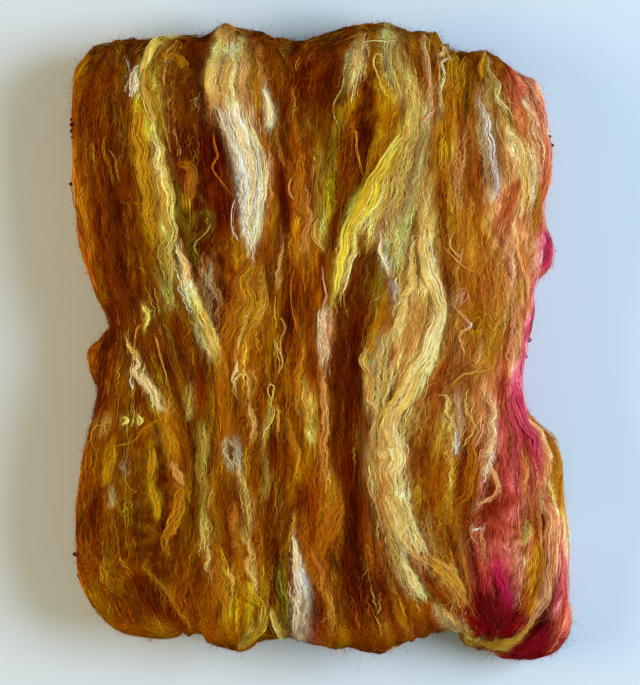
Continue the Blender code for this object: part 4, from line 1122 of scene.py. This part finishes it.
# The upper side, and the walls and the fold without what lies underneath.
top = np.flatnonzero((facings[:, 2] > 0.5) & (centres[:, 2] > 0.028))
rest = np.flatnonzero((facings[:, 2] <= 0.5) | (centres[:, 2] <= 0.028))
rest = rest[facings[rest, 2] > -0.7]
thirds = np.searchsorted((-0.035, 0.03), centres[top, 0])
for third, side_name in enumerate(("left", "middle", "right")):
    chosen = top[thirds == third]
    strand_piece("carded_fibres_" + side_name, [
        carded(chosen, guides=330, strands_each=3, length=24 * MM, points=12, thick=(0.28, 0.46),
               lift=(-0.2, 0.3), crimp=(0.3, 0.7), light=0.95, haze=0.0, spread=0.2, stray=0.08),
        carded(chosen, guides=700, strands_each=3, length=15 * MM, points=18, thick=(0.12, 0.21),
               lift=(0.0, 0.8), crimp=(0.4, 1.0), light=1.05, haze=0.02, spread=0.28, stray=0.16),
        carded(chosen, guides=430, strands_each=2, length=10 * MM, points=16, thick=(0.08, 0.12),
               lift=(0.4, 1.3), crimp=(0.5, 1.3), light=1.3, haze=0.08, spread=0.24, stray=0.6)], wool)
strand_piece("carded_fibres_edges", [
    carded(rest, guides=720, strands_each=3, length=24 * MM, points=11, thick=(0.26, 0.42),
           lift=(-0.1, 0.4), crimp=(0.3, 0.7), light=1.2, haze=0.02, spread=0.18, stray=0.08),
    carded(rest, guides=400, strands_each=3, length=16 * MM, points=16, thick=(0.12, 0.24),
           lift=(0.1, 1.0), crimp=(0.4, 1.0), light=1.35, haze=0.07, spread=0.22, stray=0.2)], wool)


# ---- The silk locks -------------------------------------------------------------------------
# Long locks of silk and pale wool laid on by hand between carding passes, glossy and almost
# parallel where they are silk, crimped and open where they are wool. They only lie on the mat.

# Each kind: how full of strands it is (0 for a single hair), then its crimp, wave length, height,
# thickness of strand and how far it meanders, in millimetres.
KINDS = {
    "satin": (2.2, 0.16, 9, 1.2, (0.10, 0.24), 0.5),
    "wavy": (1.9, 0.36, 5.5, 1.1, (0.10, 0.22), 0.9),
    "curly": (1.7, 0.5, 4.0, 0.9, (0.10, 0.22), 0.8),
    "open": (1.6, 0.5, 4.6, 0.5, (0.09, 0.18), 0.6),
    "hair": (0, 0.2, 6, 0.6, (0.14, 0.24), 0.0),
    "fine": (0, 0.25, 6, 0.7, (0.05, 0.10), 0.0),
    "rope": (2.4, 0.2, 5, 2.4, (0.12, 0.24), 0.3),
    "roll": (2.3, 0.25, 8, 3.2, (0.12, 0.26), 0.5)}
HAIR_STRANDS = 4
DEEP_STRANDS = 5
STRANDS_ACROSS = 8.5     # to a millimetre of a lock's half width, times how full its kind is
WIDER = 1.08
ROLL_PAINTED_LIGHT = 1.35
BUNDLE_WIDTH = 0.8
BUNDLE_SHARE = 0.7       # of the strands that have the dye of their bundle
ENDS_HIDDEN = 0.14       # how much of a lock, at each end, goes down into the wool
TIPS_HIDDEN = 0.12       # and how much of each strand


def drop(route, count, meander):
    """A route laid on the mat from above: the places and the normals there."""
    line = smooth_route(route, count)
    line += 3 * meander * np.column_stack([waver(line[:, 1] / 7, line[:, 0] / 40, 1),
                                           waver(line[:, 1] / 9, line[:, 0] / 40, 3)])
    spots, normals = np.empty((count, 3)), np.empty((count, 3))
    for k, (x, y) in enumerate(line * MM):
        spot, normal, _, _ = skin.ray_cast(Vector((x, y, 0.2)), Vector((0, 0, -1)))
        if spot is None:
            spot, normal, _, _ = skin.find_nearest(Vector((x, y, 0.03)))
        spots[k], normals[k] = spot, normal
    for _ in range(3):
        spots[1:-1, 2] = (spots[:-2, 2] + 2 * spots[1:-1, 2] + spots[2:, 2]) / 4
        normals[1:-1] = (normals[:-2] + 2 * normals[1:-1] + normals[2:]) / 4
    return spots, unit(normals)


def tapering(widths):
    """The half width of a lock along its way, which narrows at both ends."""
    first, middle, last = widths
    return lambda guide, share: np.interp(share, (0, 0.12, 0.5, 0.88, 1),
                                          (0.4 * first, first, middle, last, 0.25 * last)) * MM


silk = fibre_material("silk_locks", roughness=0.5, shine=0.07, fine=3.4, contrast=0.2, crimp=0.0)
lock_batches = {"left": [], "middle": [], "right": []}
for kind, dyes, widths, route in LOCKS:
    density, crimp, wave, height, thick, meander = KINDS[kind]
    widths = [w * (1 if density == 0 else WIDER) for w in widths]
    length = np.linalg.norm(np.diff(np.array(route, float), axis=0), axis=1).sum()
    spots, normals = drop(route, max(8, int(length / 2)), meander)
    spots, normals = spots[None], normals[None]
    own = np.array([PALETTE[names.index(dye)] for dye in dyes.split()])
    # The strands of the rolled lip are painted lighter than their dyes: painted light.
    own = own * (ROLL_PAINTED_LIGHT if kind == "roll" else 1)
    mean_width = sum(widths) / 3
    n = HAIR_STRANDS if density == 0 else max(7, int(density * mean_width * STRANDS_ACROSS))
    points = int(np.clip(length / (1.4 if kind == "satin" else 1.0), 8, 46))
    # A lock is made of bundles, each round and mostly of one dye, with painted shade where it meets the
    # next and at the lock's edges, and a painted highlight along its crest.
    bundles = int(np.clip(round(mean_width / BUNDLE_WIDTH), 1, 6))
    edges = np.linspace(-1, 1, bundles + 1)
    edges[1:-1] += rng.uniform(-0.25, 0.25, bundles - 1) / bundles
    across = rng.uniform(-1, 1, n)
    bundle = np.searchsorted(edges, across) - 1
    inside = (2 * across - edges[bundle] - edges[bundle + 1]) / (edges[bundle + 1] - edges[bundle])
    chance = np.array([1.0] + [SECOND_DYE] * (len(own) - 1))
    bundle_dye = rng.choice(len(own), bundles, p=chance / chance.sum())
    pick = np.where(rng.random(n) < BUNDLE_SHARE, bundle_dye[bundle],
                    rng.choice(len(own), n, p=chance / chance.sum()))
    # Painted shade between bundles and towards the lock's edges, painted highlight on each bundle's crest;
    # none for open locks and single hairs.
    painted_bundle_shade = (0.25 - 0.4 * inside ** 2 - 0.3 * across ** 2)[:, None]
    painted_bundle_shade = painted_bundle_shade * (0 if density == 0 or kind == "open" else 1)
    reach = rng.uniform(0.35, 1.0, n)
    start = rng.uniform(-0.04, 1.04, n) * (1 - reach)
    s = {
        "guide": np.zeros(n, int), "across": across * np.where(rng.random(n) < 0.12, 1.35, 1.0),
        "start": start, "stop": start + reach,
        "lift": (rng.uniform(0.0, 0.5, n) + 0.6 * np.sqrt(np.maximum(0, 1 - inside ** 2))) * MM,
        "crimp": crimp * rng.uniform(0.5, 1.1, n) * MM,
        "wave": wave * rng.uniform(0.85, 1.15) * rng.uniform(0.85, 1.2, n) * MM,
        "phase": rng.uniform(0, 6.28) + rng.normal(0, 0.6, n) + rng.normal(0, 0.9, bundles)[bundle],
        "wander": (rng.normal(0, 0.16 * mean_width, bundles)[bundle] + rng.normal(0, 0.12, n)) * MM,
        "slow": rng.uniform(0.5, 1.3, bundles)[bundle],
        "roll": rng.normal(0, 0.25, n), "twist": rng.normal(0, 0.4, n),
        "thick": rng.uniform(thick[0], thick[1], n) * MM,
        "colour": vary(own[pick], 0.1) * np.exp(painted_bundle_shade * REDDER)}
    if density == 0:
        s["start"], s["stop"] = rng.uniform(0, 0.08, n), rng.uniform(0.9, 1, n)
        s["lift"] = rng.uniform(0.8, 1.3, n) * MM
    sets = [(s, height)]
    if density > 0 and kind != "open":
        # The fibres deeper in the lock, as a few broad ribbons that stop short of its ends, darker and
        # redder as painted shade.
        n = DEEP_STRANDS
        deep = {key: value[:n].copy() for key, value in s.items()}
        deep["across"] = np.linspace(-0.7, 0.7, n)
        deep["start"], deep["stop"] = rng.uniform(0.02, 0.14, n), rng.uniform(0.86, 0.98, n)
        deep["wander"] = np.zeros(n)
        deep["lift"] = np.full(n, 0.1 * MM)
        deep["roll"], deep["twist"] = -0.5 * deep["across"], np.zeros(n)
        deep["thick"] = np.full(n, mean_width * 0.42 * MM)
        # Painted shade: the deep ribbons darker and redder than the lock's dyes.
        deep["colour"] = vary(np.repeat(own.mean(0)[None], n, axis=0) * np.exp(-0.25 * REDDER), 0.08)
        sets.append((deep, 0.5 * height))
    for chosen, rise in sets:
        made = strands_on(spots, normals, tapering(widths), lambda g, k: np.full(k.shape, rise * MM),
                          chosen, points)
        # Towards the ends of the lock its strands go down into the wool and take its colour.
        t = np.linspace(0, 1, points)[None, :]
        along = chosen["start"][:, None] + (chosen["stop"] - chosen["start"])[:, None] * t
        line_x, line_y = made["line"][..., 0].ravel() / MM, made["line"][..., 1].ravel() / MM
        ground = dye_shares(line_x, line_y) @ PALETTE
        hidden = 0.7 * np.clip(1 - np.minimum(along, 1 - along) / ENDS_HIDDEN, 0, 1) ** 1.5
        at_tips = 0.3 * np.clip(1 - np.minimum(t, 1 - t) / TIPS_HIDDEN, 0, 1)
        hidden = np.maximum(hidden, at_tips)[..., None]
        # Painted highlight: each strand lighter and darker in slow waves along the lock, like a gloss.
        painted_sheen_at = along * length / 7 + 9 * chosen["phase"][0]
        painted_sheen = np.exp(0.3 * waver(painted_sheen_at, chosen["across"][:, None] + 0 * along, 5))
        colour = chosen["colour"][:, None] * painted_sheen[..., None]
        made["colour"] = colour * (1 - hidden) + ground.reshape(*along.shape, 3) * hidden
        first_x = route[0][0]
        lock_batches["left" if first_x < -30 else "middle" if first_x < 36 else "right"].append(made)
for side_name, batches in lock_batches.items():
    strand_piece("silk_locks_" + side_name, batches, silk)


# ---- The fuzz and the neps ------------------------------------------------------------------
# Single fibres stand off the fleece all round, most of them where it is cut or folded, and a few
# tight brown knots of short wool, the neps, hang in its edge.

def stray_fibres(chosen, n, reach, stand, thick, points):
    """Short single fibres that leave the surface at a slant and curl."""
    picked = rng.choice(chosen, n, p=areas[chosen] / areas[chosen].sum())
    root, out = centres[picked], facings[picked]
    length = rng.uniform(reach[0], reach[1], n)[:, None] * MM
    along = unit(combed_way(root) * rng.choice([-1.0, 1.0], n)[:, None] + rng.normal(0, 0.7, (n, 3)))
    t = np.linspace(0, 1, points)[None, :, None]
    rise, bend = rng.uniform(stand[0], stand[1], n)[:, None, None], rng.normal(0, 0.9, (n, 3))
    lean = along[:, None]
    stood_up = out[:, None] * rise * t * (1.1 - 0.5 * t)
    curled = bend[:, None] * np.sin(2.6 * t) * t * 0.6
    line = root[:, None] + length[:, None] * (lean * t + stood_up + curled)
    line = line - out[:, None] * 0.2 * MM
    line[..., 2] = np.maximum(line[..., 2], 0.2 * MM)
    ahead = unit(np.gradient(line, axis=1))
    flat = unit(np.cross(ahead, unit(rng.normal(0, 1, (n, 3)))[:, None]))
    dyed = dye_shares(root[:, 0] / MM, root[:, 1] / MM) @ PALETTE
    dyed = dyed * 1.2 + 0.1 * PALETTE[names.index("straw")]
    run = np.linspace(0, 1, points)[None, :] * length / MM
    return {"line": line, "flat": flat, "thick": rng.uniform(thick[0], thick[1], n) * MM,
            "colour": vary(dyed, spread=0.2), "combed": np.stack([run * 0, run, run * 0], -1)}


# The rim, its steepest part, and the loose end at the bottom right.
rim = rest[(np.abs(facings[rest, 2]) < 0.75) & (centres[rest, 2] > 0.004)]
brim = rim[(np.abs(facings[rim, 2]) < 0.35) & (centres[rim, 2] > 0.012)]
tail = rim[(centres[rim, 1] < -0.1) & (centres[rim, 0] > 0.0)]
strand_piece("stray_fibres", [
    stray_fibres(rim, n=4500, reach=(0.8, 2.8), stand=(0.1, 0.8), thick=(0.06, 0.12), points=4),
    stray_fibres(brim, n=8500, reach=(1.2, 3.4), stand=(0.4, 1.1), thick=(0.05, 0.09), points=4),
    stray_fibres(tail, n=700, reach=(1.5, 5.5), stand=(0.1, 0.8), thick=(0.06, 0.10), points=8),
    stray_fibres(top, n=1200, reach=(1.5, 4.0), stand=(0.1, 0.8), thick=(0.05, 0.09), points=7)], wool)

# Where the neps hang (millimetres).
NEPS = (
    (-105.6, 89.5), (-105, 92), (-105.4, 87), (-103.6, 85), (-105.6, 94.5), (-106.4, 67), (-106.8, -89),
    (94.6, 103.4), (97, 87.6), (98.6, 83.8), (-36, 134.4), (-29.5, 132), (-19.6, 130), (-69.6, 130.4),
    (-57, 129.6), (-81.7, 128), (-102, -98), (89.6, 14), (88.6, 1))
NEP_FIBRES = 12
NEP_POINTS = 14
knots = []
for x, y in NEPS:
    spot, normal, _, _ = skin.find_nearest(Vector((x * MM, y * MM, rng.uniform(33, 41) * MM)))
    # A ball of fibres, each wound round it on a plane of its own.
    n = NEP_FIBRES
    turn = np.linspace(0, 2, NEP_POINTS)[None, :] * rng.uniform(3, 6, n)[:, None]
    turn = turn + rng.uniform(0, 6.28, n)[:, None]
    tilt = rng.uniform(0, 3.14, n)[:, None]
    size = rng.uniform(0.5, 1.1) * MM
    ring = np.stack([np.cos(turn), np.sin(turn) * np.cos(tilt), np.sin(turn) * np.sin(tilt)], -1)
    line = np.array(spot + normal * 0.9 * MM) + size * ring * rng.uniform(0.5, 1.1, (n, 1, 1))
    flat = unit(np.cross(unit(np.gradient(line, axis=1)), unit(rng.normal(0, 1, (n, 3)))[:, None]))
    colour = vary(np.repeat(PALETTE[names.index("oxblood")][None] * 1.3, n, axis=0), spread=0.3)
    knots.append({"line": line, "flat": flat, "thick": rng.uniform(0.16, 0.34, n) * MM, "colour": colour,
                  "combed": np.stack([turn, turn, turn * 0], -1)})
strand_piece("neps", knots, wool)
